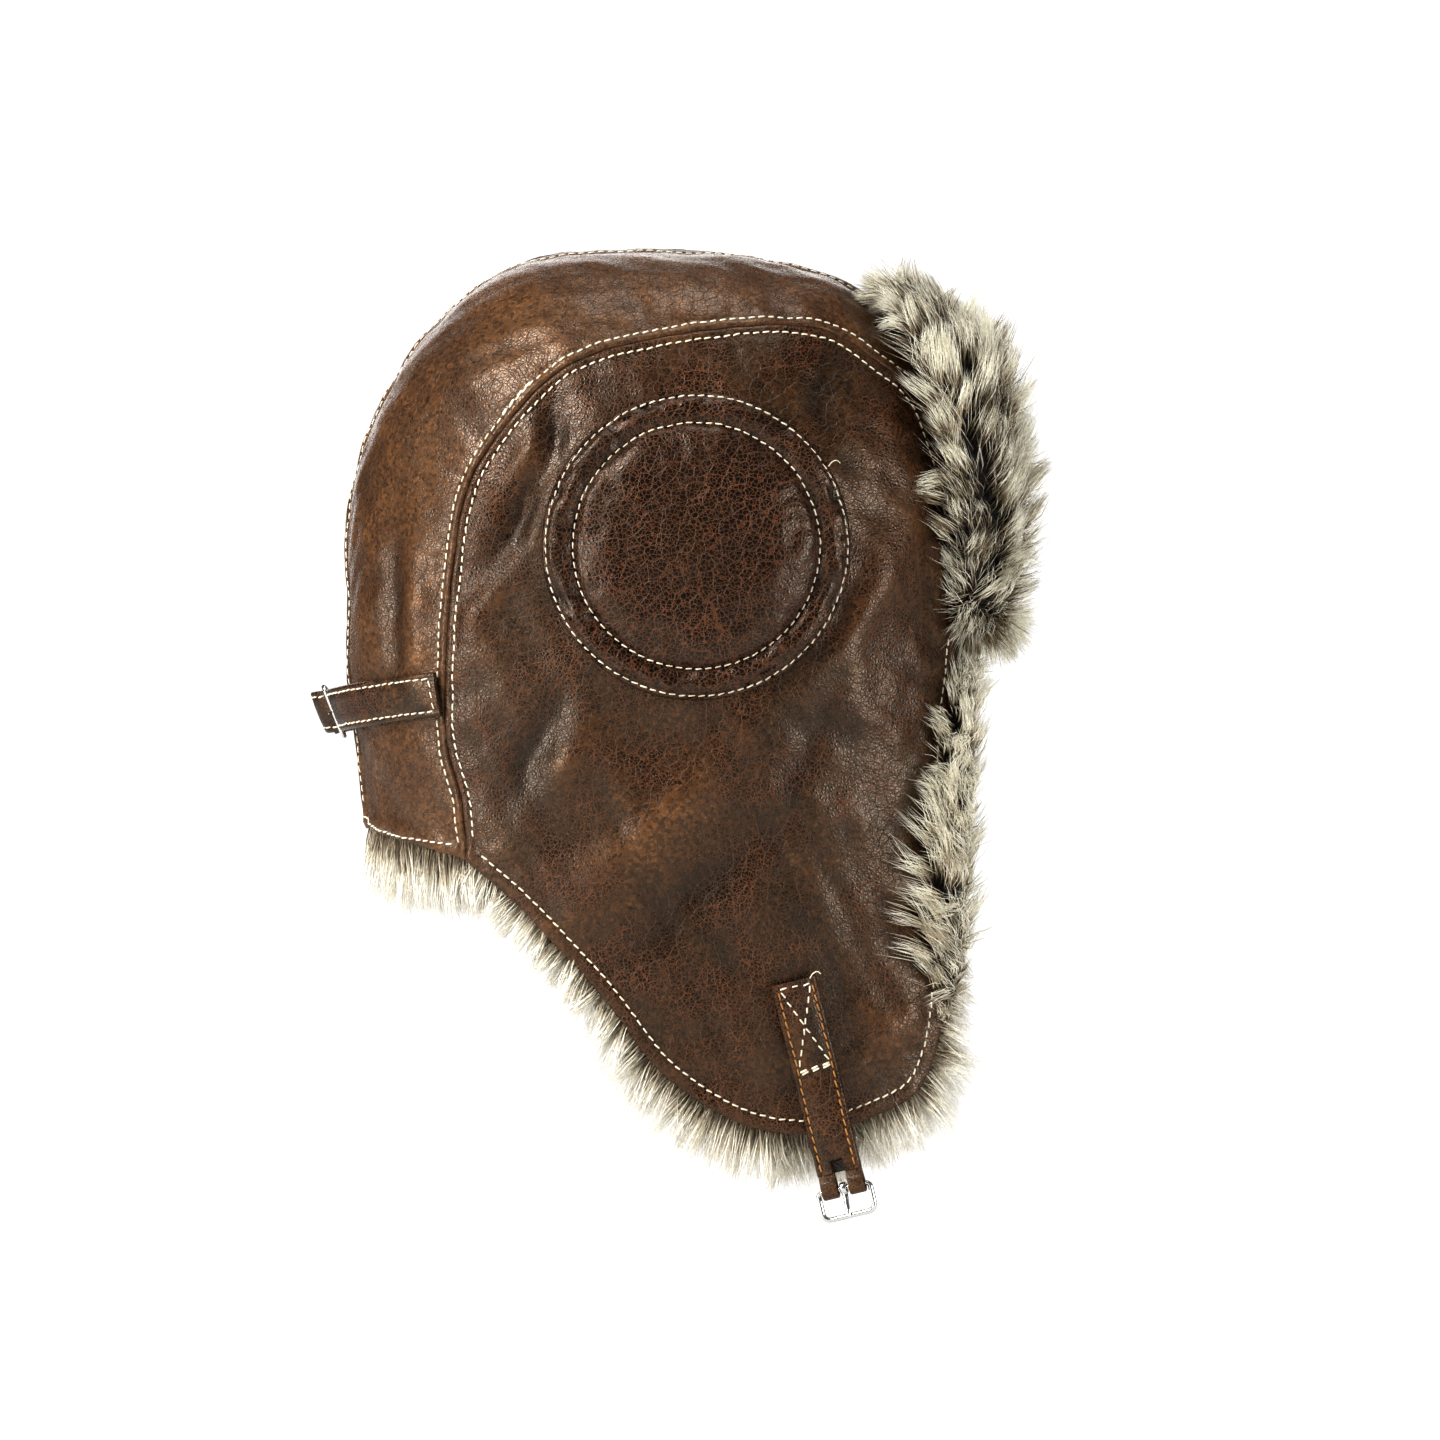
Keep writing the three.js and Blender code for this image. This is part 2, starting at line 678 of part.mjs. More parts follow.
// Locks in overlapping rows, pointing up and away from the middle, and out past the visor's edges.
function visorFurLocks() {
  const locks = [];
  const root = LEATHER.thick + LEATHER.gap + VISOR_FUR.thick * VISOR_FUR.rootDepth;
  for (let i = 0; i < VISOR_FUR.lockRows; i++) {
    const share = (i + VISOR_FUR.firstRow) / VISOR_FUR.lockRows;
    const { z, half } = visorRow(share);
    const count = Math.round((2 * half) / VISOR_FUR.lockSpacing);
    for (let j = 0; j <= count; j++) {
      const across = ((2 * j) / count - 1) * VISOR_FUR.edge;
      const start = visorPoint(share, across, root);
      const out = normalAt(start);
      const up = new THREE.Vector3(0, VISOR_FUR.splay * across, 1);
      up.addScaledVector(out, -up.dot(out)).normalize();
      const length = read(VISOR, "z", "length", z) + VISOR_FUR.uneven * wave(i * 5 + j);
      const lift = read(VISOR, "z", "lift", z) * (1 + 0.15 * wave(i + j * 3));
      const middle = start.clone().addScaledVector(up, length * 0.45).addScaledVector(out, lift * 0.8);
      const tip = start.clone().addScaledVector(up, length).addScaledVector(out, lift);
      const sideways = new THREE.Vector3().crossVectors(up, out);
      locks.push(lock([start, middle, tip], sideways, VISOR_FUR.lockWidth, VISOR_FUR.lockDepth));
    }
  }
  return locks;
}

// The pile thins towards the visor's edges.
function visorPile(share, across) {
  const full = (1 - Math.pow(across, 4)) * (1 - Math.pow(2 * share - 1, 4));
  return LEATHER.thick + LEATHER.gap + THREE.MathUtils.lerp(VISOR_FUR.thin, VISOR_FUR.thick, full);
}

function visorFurBody() {
  const back = visorGrid(() => LEATHER.thick + LEATHER.gap);
  return joined([wall(back, visorGrid(visorPile), false), ...visorFurLocks()]);
}

// Wire buckles, built about the heel bar: +X towards the end bar, +Y along the bar, +Z outwards.

function roundedRectangle(target, x0, x1, halfY, radius) {
  target.moveTo(x0, -halfY);
  target.lineTo(x1 - radius, -halfY);
  target.absarc(x1 - radius, -halfY + radius, radius, -Math.PI / 2, 0);
  target.lineTo(x1, halfY - radius);
  target.absarc(x1 - radius, halfY - radius, radius, 0, Math.PI / 2);
  target.lineTo(x0, halfY);
  target.closePath();
  return target;
}

// A cylinder along the bar's direction.
function bar(radius, length, sides) {
  return new THREE.CylinderGeometry(radius, radius, length, sides);
}

function buckleFrame() {
  const { length, halfWidth: half, wire, barRadius, cornerRadius } = BUCKLE;
  const rim = wire / 2;
  const shape = roundedRectangle(new THREE.Shape(), -barRadius, length + rim, half + rim, cornerRadius);
  const hole = roundedRectangle(new THREE.Path(), barRadius, length - rim, half - rim, cornerRadius - wire / 2);
  shape.holes.push(hole);
  const plate = new THREE.ExtrudeGeometry(shape, { depth: wire, bevelEnabled: false, curveSegments: 3 });
  plate.translate(0, 0, -wire / 2);
  const slit = new THREE.BoxGeometry(4 * barRadius, 2 * half - wire, 2 * wire);
  const open = cut(plate, slit);
  return joined([open, bar(barRadius, 2 * half, 8)]);
}

function buckleProng() {
  const { ringInner, ringOuter, ringWidth, width, tipWidth, thick } = PRONG;
  const ring = cut(bar(ringOuter, ringWidth, 12), bar(ringInner, 2 * ringWidth, 12));
  const rest = BUCKLE.wire / 2 + LEATHER.gap + thick / 2;
  const start = ringOuter - PRONG.overlap;
  const end = BUCKLE.length + BUCKLE.wire / 2;
  const onBar = BUCKLE.length - BUCKLE.wire / 2 - PRONG.beforeEndBar;
  const side = [
    [start, -thick / 2, width],
    [onBar, rest - thick / 2, tipWidth],
    [end, rest - thick / 2, tipWidth],
  ];
  const grids = [0, thick].map((rise) =>
    side.map(([x, z, w]) => [-w / 2, w / 2].map((y) => new THREE.Vector3(x, y, z + rise))),
  );
  return joined([ring, wall(grids[1], grids[0], false)]);
}

// The strap's end: two fingers looped round the heel bar, with a slot between them for the prong.
function strapLoop(height) {
  const finger = STRAP.width / 2 - LOOP.slot;
  return [1, -1].map((hand) => {
    const tube = bar(LOOP.outer, finger, LOOP.sides).toNonIndexed();
    const neck = new THREE.BoxGeometry(LOOP.slotDepth, finger, height);
    neck.translate(-LOOP.slotDepth / 2 - LOOP.overlap, 0, 0);
    const solid = cut(joined([tube, neck]), bar(LOOP.inner, 2 * finger, LOOP.sides));
    return solid.translate(0, hand * (LOOP.slot + finger / 2), 0);
  });
}

// Matrix that stands a buckle at a point, with its end-bar direction and its outward direction.
function stance(origin, along, outward) {
  const across = new THREE.Vector3().crossVectors(outward, along).normalize();
  return new THREE.Matrix4().makeBasis(along, across, outward).setPosition(origin);
}

// Chin straps: sewn to the flap at the top, then hanging plumb beside it.

const chinDown = new THREE.Vector3(Math.sin(radians(CHIN.lean)), 0, -Math.cos(radians(CHIN.lean)));
const chinAcross = new THREE.Vector3(-chinDown.z, 0, chinDown.x);
const chinTop = new THREE.Vector3(CHIN.x, 0, CHIN.z);
const chinAt = (along, across) =>
  chinTop.clone().addScaledVector(chinDown, along).addScaledVector(chinAcross, across);
const flapStand = ({ x, z }) => halfWidth(x, z) + Math.max(0, foldHeight(x, z)) + STRAP.lift;
const chinHang = flapStand(chinAt(CHIN.sewn, 0));

// How much of the strap's twist is reached at a distance along it.
const twistAt = (along) =>
  radians(CHIN.twist) * smooth(along, CHIN_HANG.twistFrom, CHIN.length - CHIN_HANG.twistToHeel);

// A point of the strap: distance along it, place across it, and height above its back face.
function chinPoint(along, across, rise) {
  const flat = chinAt(along, across);
  const free = smooth(along, CHIN_HANG.offFrom, CHIN_HANG.freeFrom);
  const turn = twistAt(along);
  const point = chinAt(along, across * Math.cos(turn) - rise * Math.sin(turn));
  const hang = chinHang + (across * Math.sin(turn) + rise * Math.cos(turn));
  return point.setY(-THREE.MathUtils.lerp(flapStand(flat) + rise, hang, free));
}

function chinGrid(rise, rows) {
  return rows.map(({ along, half }) => [-half, 0, half].map((across) => chinPoint(along, across, rise)));
}

const evenly = (from, to, steps) =>
  Array.from({ length: steps + 1 }, (_, i) => THREE.MathUtils.lerp(from, to, i / steps));
const chinRows = (end) =>
  evenly(0, end, CHIN_HANG.steps).map((along) => ({ along, half: STRAP.width / 2 }));

// The buckle hangs plumb from its heel bar, as far as the bar's own slant lets it.
const chinHeel = chinPoint(CHIN.length, 0, STRAP.thick / 2);
const chinBar = chinPoint(CHIN.length, 5, 0).sub(chinPoint(CHIN.length, -5, 0)).normalize();
const chinPlumb = new THREE.Vector3(0, 0, -1).addScaledVector(chinBar, chinBar.z).normalize();
const chinStance = stance(chinHeel, chinPlumb, new THREE.Vector3().crossVectors(chinPlumb, chinBar));

function chinStrapWithLoop() {
  const rows = chinRows(CHIN.length - LOOP.slotDepth);
  const body = wall(chinGrid(0, rows), chinGrid(STRAP.thick, rows), false);
  const end = CHIN.length - LOOP.slotDepth - TAB.inset;
  const half = STRAP.width / 2 - TAB.inset;
  const tabRows = [end - TAB.length, end].map((along) => ({ along, half }));
  const tab = wall(chinGrid(TAB.back, tabRows), chinGrid(TAB.front, tabRows), false);
  const fingers = strapLoop(STRAP.thick).map((finger) => finger.applyMatrix4(chinStance));
  return joined([body, tab, ...fingers]);
}

function chinStrapWithHoles() {
  const rows = chinRows(CHIN.length - TONGUE_TIP.shoulder);
  rows.push({ along: CHIN.length - TONGUE_TIP.taper, half: STRAP.width / 2 - TONGUE_TIP.narrow });
  rows.push({ along: CHIN.length + TONGUE_TIP.past, half: TONGUE_TIP.half });
  let strap = wall(chinGrid(0, rows), chinGrid(STRAP.thick, rows), false);
  for (let i = 0; i < HOLES.count; i++) {
    const place = chinPoint(CHIN.sewn + HOLES.first + i * HOLES.pitch, 0, 0);
    const punch = bar(HOLES.radius, 6 * STRAP.thick, HOLES.sides);
    strap = cut(strap, punch.translate(place.x, place.y, place.z));
  }
  return mirrored(strap);
}

// Back strap: the left half carries the buckle, the right half's tongue runs through it.

const backTilt = radians(BACK.tilt);
const backHeight = (y) =>
  THREE.MathUtils.lerp(BACK.middleZ, BACK.seamZ, Math.pow(Math.abs(y) / BACK.seamY, 2));
const backShare = (y) => 1 - smooth(Math.abs(y), BACK.free.from, BACK.free.to);

// A point of a back strap: place from right to left, place across its width, and distance from the crown.
function backPoint(y, across, stand) {
  const share = backShare(y);
  const z = backHeight(y) + across * Math.cos(backTilt * share);
  const base = new THREE.Vector3(reach(y, z, false), y, z);
  const lift = BACK.lift + BACK.loose * share + Math.max(0, foldHeight(base.x, base.z));
  const lean = across * Math.sin(backTilt * share);
  return base.addScaledVector(normalAt(base), lift + stand + lean * share + Math.abs(lean) * (1 - share));
}

function backStrap(places, half, standAt, thick) {
  const grid = (rise) =>
    places.map((y) => [-half, 0, half].map((across) => backPoint(y, across, standAt(y) + rise)));
  return wall(grid(0), grid(thick), false);
}

const leftStand = (y) => BACK.stand * backShare(y);

const backHeel = backPoint(BACK.heelY, 0, leftStand(BACK.heelY) + STRAP.thick / 2);
const backUp = backPoint(BACK.heelY, 5, 0).sub(backPoint(BACK.heelY, -5, 0)).setY(0).normalize();
const backOutward = new THREE.Vector3(-backUp.z, 0, backUp.x);
const backStance = stance(backHeel, new THREE.Vector3(0, -1, 0), backOutward);

// The tongue runs under the end bar, climbs through the frame and lies on the left half.
const TONGUE = [
  { y: -BACK.seamY, rise: 0 },
  { y: -56, rise: 0 },
  { y: -42, rise: 0.3 },
  { y: -28, rise: 0.6 },
  { y: -16, rise: 0.2 },
  { y: -9, rise: -2.4 },
  { y: -2.8, rise: -2.4 },
  { y: 2, rise: 3.4 },
  { y: 6, rise: 5.4 },
  { y: 11, rise: 4.5 },
  { y: 18, rise: 3.6 },
  { y: 25, rise: 3.6 },
  { y: 31, rise: 3.6 },
];

function backStrapLeft() {
  const places = evenly(BACK.seamY, BACK.heelY + LOOP.slotDepth, 9);
  const body = backStrap(places, STRAP.width / 2, leftStand, STRAP.thick);
  const fingers = strapLoop(STRAP.thick).map((finger) => finger.applyMatrix4(backStance));
  return joined([body, ...fingers]);
}

function backStrapRight() {
  const riseAt = new Map(TONGUE.map((row) => [row.y, row.rise]));
  const places = TONGUE.map((row) => row.y);
  const stand = (y) => leftStand(y) + riseAt.get(y);
  const strap = backStrap(places, BACK.tongueHalf, stand, BACK.tongueThick);
  const slot = new THREE.BoxGeometry(BACK.slotTo - BACK.slotFrom, 2 * LOOP.slot, 6 * STRAP.thick);
  slot.translate((BACK.slotTo + BACK.slotFrom) / 2, 0, 0).applyMatrix4(backStance);
  return cut(strap, slot);
}

// The assembly.

const cap = new THREE.Group();

function piece(name, geometry, material) {
  const mesh = new THREE.Mesh(geometry, material);
  mesh.name = name;
  cap.add(mesh);
  return mesh;
}

function pair(name, geometry, material) {
  piece(name + "_right", geometry, material);
  piece(name + "_left", mirrored(geometry), material);
}

pair("crown_panel", crownPanel(), leather);
pair("side_panel", sidePanel(), leather);
pair("ear_patch", earPatch(), patchLeather);
pair("crown_lining", crownLining(), liningFur);
pair("side_lining", sideLining(), liningFur);
piece("visor_backing", visorBacking(), leather);
piece("visor_fur", visorFurBody(), visorFur);
piece("back_strap_left", backStrapLeft(), leather);
piece("back_strap_right", backStrapRight(), leather);
piece("back_buckle", buckleFrame().applyMatrix4(backStance), steel);
piece("back_prong", buckleProng().applyMatrix4(backStance), steel);
piece("chin_strap_right", chinStrapWithLoop(), leather);
piece("chin_strap_left", chinStrapWithHoles(), leather);
piece("chin_buckle", buckleFrame().applyMatrix4(chinStance), steel);
piece("chin_prong", buckleProng().applyMatrix4(chinStance), steel);

export default cap;
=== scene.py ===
"""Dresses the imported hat: worn leather panels, padded ear patches, straps, buckles, topstitching and fur.

The pattern's own sizes are millimetres and become metres when a mesh is made.
+X is the wearer's front, +Y the wearer's left and +Z up. The origin is the middle of the head opening.
"""

from __future__ import annotations

import logging
import math
from dataclasses import dataclass, field
from enum import Enum

import bpy
import numpy as np
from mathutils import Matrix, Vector
from numpy.typing import NDArray


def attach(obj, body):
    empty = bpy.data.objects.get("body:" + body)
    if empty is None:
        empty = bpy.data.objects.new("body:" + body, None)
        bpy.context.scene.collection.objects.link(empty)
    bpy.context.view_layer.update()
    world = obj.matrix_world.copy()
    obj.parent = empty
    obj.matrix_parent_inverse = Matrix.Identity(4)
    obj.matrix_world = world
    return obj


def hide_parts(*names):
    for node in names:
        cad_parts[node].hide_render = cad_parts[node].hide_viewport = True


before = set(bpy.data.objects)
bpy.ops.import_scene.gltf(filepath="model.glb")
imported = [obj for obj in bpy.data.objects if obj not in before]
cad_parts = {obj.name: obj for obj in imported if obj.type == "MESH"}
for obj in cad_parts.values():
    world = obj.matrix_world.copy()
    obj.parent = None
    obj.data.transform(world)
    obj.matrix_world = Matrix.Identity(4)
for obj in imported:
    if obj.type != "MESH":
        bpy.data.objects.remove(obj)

Array = NDArray[np.float64]
Whole = NDArray[np.int64]
Colour = tuple[float, float, float, float]

MM = 0.001
UP = np.array([0.0, 0.0, 1.0])
LEFTWARDS = np.array([0.0, 1.0, 0.0])
log = logging.getLogger("ushanka")


class Side(Enum):
    """The wearer's side that a piece is on, as the sign of its Y."""

    RIGHT = -1
    LEFT = 1


class Body(Enum):
    """The rigid bodies that pieces ride on."""

    HAT = "hat"
    CHIN_BUCKLE = "chin_buckle"
    CHIN_PRONG = "chin_prong"


class Slot(Enum):
    """The record's material slots."""

    LEATHER = "leather"
    PATCH = "patch_leather"
    LINING = "lining_fur"
    VISOR = "visor_fur"
    METAL = "metal"


# Numbers and curves.


def smoothstep(value: Array | float, low: float, high: float) -> Array:
    """Rises from 0 at low to 1 at high as 3t^2 - 2t^3."""
    t = np.clip((np.asarray(value, float) - low) / (high - low), 0, 1)
    return t * t * (3 - 2 * t)


def bell(value: Array, middle: float, width: float) -> Array:
    """A Gaussian hump of height 1: exp(-((value - middle) / width)^2)."""
    return np.exp(-(((value - middle) / width) ** 2))


def unit(vectors: Array) -> Array:
    """Vectors divided by their lengths."""
    return vectors / np.maximum(np.linalg.norm(vectors, axis=-1, keepdims=True), 1e-12)


def cubic(keys: Array, values: Array, at: Array | float, level_ends: bool = True) -> Array:
    """Reads a table as a smooth curve.

    Between two rows it is the Hermite cubic whose slope at each row is the one between the rows on either
    side.

    Args:
        keys: The table's places, rising.
        values: The value at each place.
        at: The places to read.
        level_ends: Whether the slope is zero at the table's two ends.

    Returns:
        The value at each place in at.
    """
    slopes = np.zeros_like(values, dtype=float)
    slopes[1:-1] = (values[2:] - values[:-2]) / (keys[2:] - keys[:-2])
    if not level_ends:
        slopes[0] = (values[1] - values[0]) / (keys[1] - keys[0])
        slopes[-1] = (values[-1] - values[-2]) / (keys[-1] - keys[-2])
    place = np.clip(at, keys[0], keys[-1])
    i = np.clip(np.searchsorted(keys, place) - 1, 0, len(keys) - 2)
    span = keys[i + 1] - keys[i]
    t = (place - keys[i]) / span
    rise = values[i + 1] - values[i]
    bend = (1 - t) * slopes[i] - t * slopes[i + 1]
    return values[i] + t * t * (3 - 2 * t) * rise + span * t * (1 - t) * bend


def arc_lengths(points: Array) -> Array:
    """Distance along a line of points from its first one."""
    steps = np.linalg.norm(np.diff(points, axis=0), axis=1)
    return np.concatenate([[0.0], np.cumsum(steps)])


def read_along(length: Array, rows: Array, at: Array) -> Array:
    """Rows of a table read between its places along a line, in straight steps."""
    return np.stack([np.interp(at, length, column) for column in rows.T], axis=1)


def spaced(points: Array, count: int) -> Array:
    """Evenly spaced points along a line of points."""
    length = arc_lengths(points)
    return read_along(length, points, np.linspace(0, length[-1], count))


def turns(count: int) -> Array:
    """Directions spread evenly round a full turn."""
    return np.linspace(0, 2 * np.pi, count, endpoint=False)


def polar(radius: Array | float, turn: Array) -> Array:
    """Places in a plane at a distance and a direction: (radius cos turn, radius sin turn)."""
    return np.stack([radius * np.cos(turn), radius * np.sin(turn)], axis=-1)


def smooth_path(points: Array, count: int) -> Array:
    """Evenly spaced points on a smooth curve through the given ones.

    Args:
        points: The curve's own points.
        count: How many points to return.

    Returns:
        The points, one row each: the cubic through the given ones, keyed by the chords' lengths.
    """
    chords = arc_lengths(points)
    fine = np.linspace(0, chords[-1], 40 * len(points))
    curve = np.stack([cubic(chords, column, fine, level_ends=False) for column in points.T], axis=1)
    return spaced(curve, count)


def tangents(points: Array) -> Array:
    """Unit directions along a line of points, from the points on either side of each."""
    return unit(np.gradient(points, axis=0))


def nearest(points: Array, line: Array) -> tuple[Array, Array]:
    """Distance from each point to a line of points, and the place along the line that is nearest.

    Args:
        points: Points in the plane of the line.
        line: The line's points.

    Returns:
        The distances, and the distances along the line.
    """
    length = arc_lengths(line)
    start, step = line[:-1], np.diff(line, axis=0)
    square = np.maximum((step**2).sum(axis=1), 1e-12)
    closest = []
    for block in np.array_split(points, max(1, len(points) // 1500)):
        away = block[:, None, :] - start[None]
        t = np.clip((away * step).sum(axis=2) / square, 0, 1)
        gap = np.linalg.norm(away - t[..., None] * step, axis=2)
        k = gap.argmin(axis=1)
        row = np.arange(len(block))
        closest.append(np.stack([gap[row, k], length[k] + t[row, k] * np.sqrt(square[k])], axis=1))
    found = np.concatenate(closest)
    return found[:, 0], found[:, 1]


def ripple(points: Array, pitch: float, seed: int, waves: int = 7) -> Array:
    """Soft unevenness of about -1 to 1: the sum of a few sine waves in seeded directions.

    Args:
        points: Places in millimetres.
        pitch: Mean length of a wave.
        seed: Choice of the waves.
        waves: How many waves.

    Returns:
        The unevenness at each point.
    """
    rng = np.random.default_rng(seed)
    directions = unit(rng.normal(size=(waves, 3))) * (2 * np.pi / pitch) * rng.uniform(0.7, 1.5, (waves, 1))
    phases = rng.uniform(0, 2 * np.pi, waves)
    return np.sin(points @ directions.T + phases).sum(axis=1) / math.sqrt(waves)


# The hat's form.

SECTION_Z = np.array([-210, -150, -110, -75, -45, -18, 7.2])
SECTION_BACK = np.array([-104, -103, -102, -102, -105.5, -108.6, -109])
SECTION_FRONT = np.array([150, 140, 131, 124, 120.5, 118.8, 118.4])
SECTION_SIDE = np.array([73, 79, 83, 87, 89.8, 91.6, 92])
OUTLINE_ANGLE = np.array([0, 22, 45, 64, 78, 98, 114, 125, 147, 163, 180])
OUTLINE_RADIUS = np.array([104, 109.5, 121, 127.5, 126, 126.9, 134.8, 136.4, 132.7, 127.8, 123.4])

SEAM = np.array(
    [
        (112.5, 0), (110, 28), (104.5, 56), (95.8, 79), (81.5, 92), (63, 103), (32, 104), (2, 99.5),
        (-29, 90.5), (-48.5, 72), (-62, 52), (-69.5, 22), (-72.5, -20), (-72, -44), (-66.5, -66), (-65, -86),
    ]
)  # fmt: skip
HEM = np.array(
    [
        (-65, -86), (-45, -104), (-16, -135.5), (4, -161), (31, -179), (55, -183.5), (77.5, -178),
        (97, -167), (105, -141), (105.5, -95), (108.5, -40), (112.5, 0),
    ]
)  # fmt: skip
NAPE_Z = -75.0


@dataclass(frozen=True)
class Fold:
    """A fold or dent: its middle in the side view, the turn of its long axis, its half sizes and height."""

    x: float
    z: float
    turn: float
    long: float
    wide: float
    lift: float

    def height(self, x: Array, z: Array) -> Array:
        """A Gaussian hump, longer along its own axis than across it.

        Args:
            x: Places ahead of the origin.
            z: Heights over the origin.

        Returns:
            The fold's height at each place.
        """
        turn = math.radians(self.turn)
        along = (x - self.x) * math.cos(turn) + (z - self.z) * math.sin(turn)
        across = (z - self.z) * math.cos(turn) - (x - self.x) * math.sin(turn)
        return self.lift * np.exp(-((along / self.long) ** 2) - (across / self.wide) ** 2)


FOLDS = (
    Fold(-91, 5, 90, 24, 4, -3.2),
    Fold(-83, -2, 92, 28, 5, 2.4),
    Fold(-100, -4, 88, 32, 6, 1.6),
    Fold(-34, 69, 95, 12, 4.5, -2.6),
    Fold(-44, 57, 60, 11, 5, 2.2),
    Fold(-48, 31, 61, 27, 5.5, -3.6),
    Fold(-58, 8, 62, 20, 6, 3),
    Fold(-28, -51, 67, 13, 6, 2.6),
    Fold(-40, -44, 62, 20, 6, -2.8),
    Fold(2, -74, 45, 36, 8, 3.4),
    Fold(18, -96, 43, 34, 8, -2.8),
    Fold(76, 0, 65, 44, 7, 3),
    Fold(61, -34, 66, 26, 6, -2.8),
    Fold(61, 79, 90, 18, 5, -2.2),
    Fold(88, -146, 60, 14, 9, 2.6),
)
PATCH_X = 16.7
PATCH_Z = 25.6
PATCH_RADIUS = 54.6
FOLD_FADE = 9.0


@dataclass(frozen=True)
class HatForm:
    """The leather's outer face: a crown drawn about a centre in the middle plane, over upright sides."""

    x: float = 14.4
    z: float = 7.2
    squareness: float = 2.4
    farthest: float = 140.0
    seam_gap: float = 0.08

    def gauge(self, x: Array, z: Array) -> Array:
        """Place of a point of the side view between the middle, at 0, and the outline, at 1.

        Args:
            x: Places ahead of the origin.
            z: Heights over the origin.

        Returns:
            The share at each place.
        """
        ahead = x - self.x
        back = cubic(SECTION_Z, SECTION_BACK, z)
        front = cubic(SECTION_Z, SECTION_FRONT, z)
        low = ahead / (np.where(ahead < 0, back, front) - self.x)
        angle = np.degrees(np.arctan2(z - self.z, ahead))
        high = np.hypot(ahead, z - self.z) / cubic(OUTLINE_ANGLE, OUTLINE_RADIUS, angle)
        return np.where(z < self.z, low, high)

    def level(self, x: Array, y: Array, z: Array) -> Array:
        """gauge^n + (|y| / side)^n - 1, which is zero on the surface."""
        across = np.abs(y) / cubic(SECTION_Z, SECTION_SIDE, z)
        return self.gauge(x, z) ** self.squareness + across**self.squareness - 1

    def half_width(self, x: Array, z: Array) -> Array:
        """side * (1 - gauge^n)^(1 / n), the distance from the middle plane to the surface."""
        left = np.maximum(0, 1 - self.gauge(x, z) ** self.squareness)
        return cubic(SECTION_Z, SECTION_SIDE, z) * left ** (1 / self.squareness)

    def reach(self, y: Array, z: Array, forward: bool) -> Array:
        """X of the surface in front or behind at a place of the front view, found by halving.

        Args:
            y: Places to the left of the origin.
            z: Heights over the origin.
            forward: Whether the front is meant.

        Returns:
            The X of each place.
        """
        near = np.full_like(y, self.x)
        far = near + (self.farthest if forward else -self.farthest)
        for _ in range(36):
            middle = (near + far) / 2
            inside = self.level(middle, y, z) < 0
            near, far = np.where(inside, middle, near), np.where(inside, far, middle)
        return near

    def normal(self, points: Array) -> Array:
        """Outward directions of the surface: central differences of level, made unit vectors.

        Args:
            points: Points on or near the surface.

        Returns:
            A unit vector for each point.
        """
        step = 0.05
        columns = []
        for offset in np.eye(3) * step:
            ahead, behind = (points + offset).T, (points - offset).T
            columns.append(self.level(*ahead) - self.level(*behind))
        return unit(np.stack(columns, axis=1))

    def folds(self, x: Array, z: Array) -> Array:
        """Height of the folds, which fade out under the padded patch.

        Args:
            x: Places ahead of the origin.
            z: Heights over the origin.

        Returns:
            The folds' height at each place.
        """
        height = sum(fold.height(x, z) for fold in FOLDS)
        away = np.hypot(x - PATCH_X, z - PATCH_Z)
        return height * smoothstep(away, PATCH_RADIUS, PATCH_RADIUS + FOLD_FADE)

    def base(self, flat: Array, side: Side, gap: float | None = None) -> Array:
        """Points of the surface on one side of the hat from their places in the side view."""
        out = np.maximum(self.seam_gap if gap is None else gap, self.half_width(flat[:, 0], flat[:, 1]))
        return np.stack([flat[:, 0], side.value * out, flat[:, 1]], axis=1)


FORM = HatForm()


@dataclass(frozen=True)
class Pattern:
    """The lines along which the leather is cut and sewn, in the side view."""

    fine: int = 420

    @property
    def seam(self) -> Array:
        """The seam between crown and side panels, from the brow to the nape."""
        return smooth_path(SEAM, self.fine)

    @property
    def hem(self) -> Array:
        """The free edge of a side panel, from the nape round the flap to the brow."""
        return smooth_path(HEM, self.fine)

    def middle(self, count: int) -> Array:
        """The crown's middle line, over the top and down the back to the nape.

        Evenly spaced points are moved onto the outline, since the leather is as much as 3 mm wide a little
        inside it.

        Args:
            count: How many points to return.

        Returns:
            The points, one row each.
        """
        angle = np.linspace(0, 180, 91)
        radius = cubic(OUTLINE_ANGLE, OUTLINE_RADIUS, angle)
        over = [FORM.x, FORM.z] + polar(radius, np.radians(angle))
        brow = np.array([[float(FORM.reach(np.zeros(1), np.zeros(1), True)[0]), 0.0]])
        drop = np.linspace(FORM.z, NAPE_Z, 24)[1:]
        down = np.stack([FORM.reach(np.zeros_like(drop), drop, False), drop], axis=1)
        line = spaced(np.concatenate([brow, over, down]), count)
        grow = 1 / FORM.gauge(line[:, 0], line[:, 1])
        high = line[:, 1] >= FORM.z
        line[:, 0] = FORM.x + (line[:, 0] - FORM.x) * grow
        line[:, 1] = np.where(high, FORM.z + (line[:, 1] - FORM.z) * grow, line[:, 1])
        return line

    def nape(self) -> Array:
        """The crown's lower edge at the back, from the middle line to the seam."""
        return np.linspace(self.middle(200)[-1], SEAM[-1], 40)


PATTERN = Pattern()


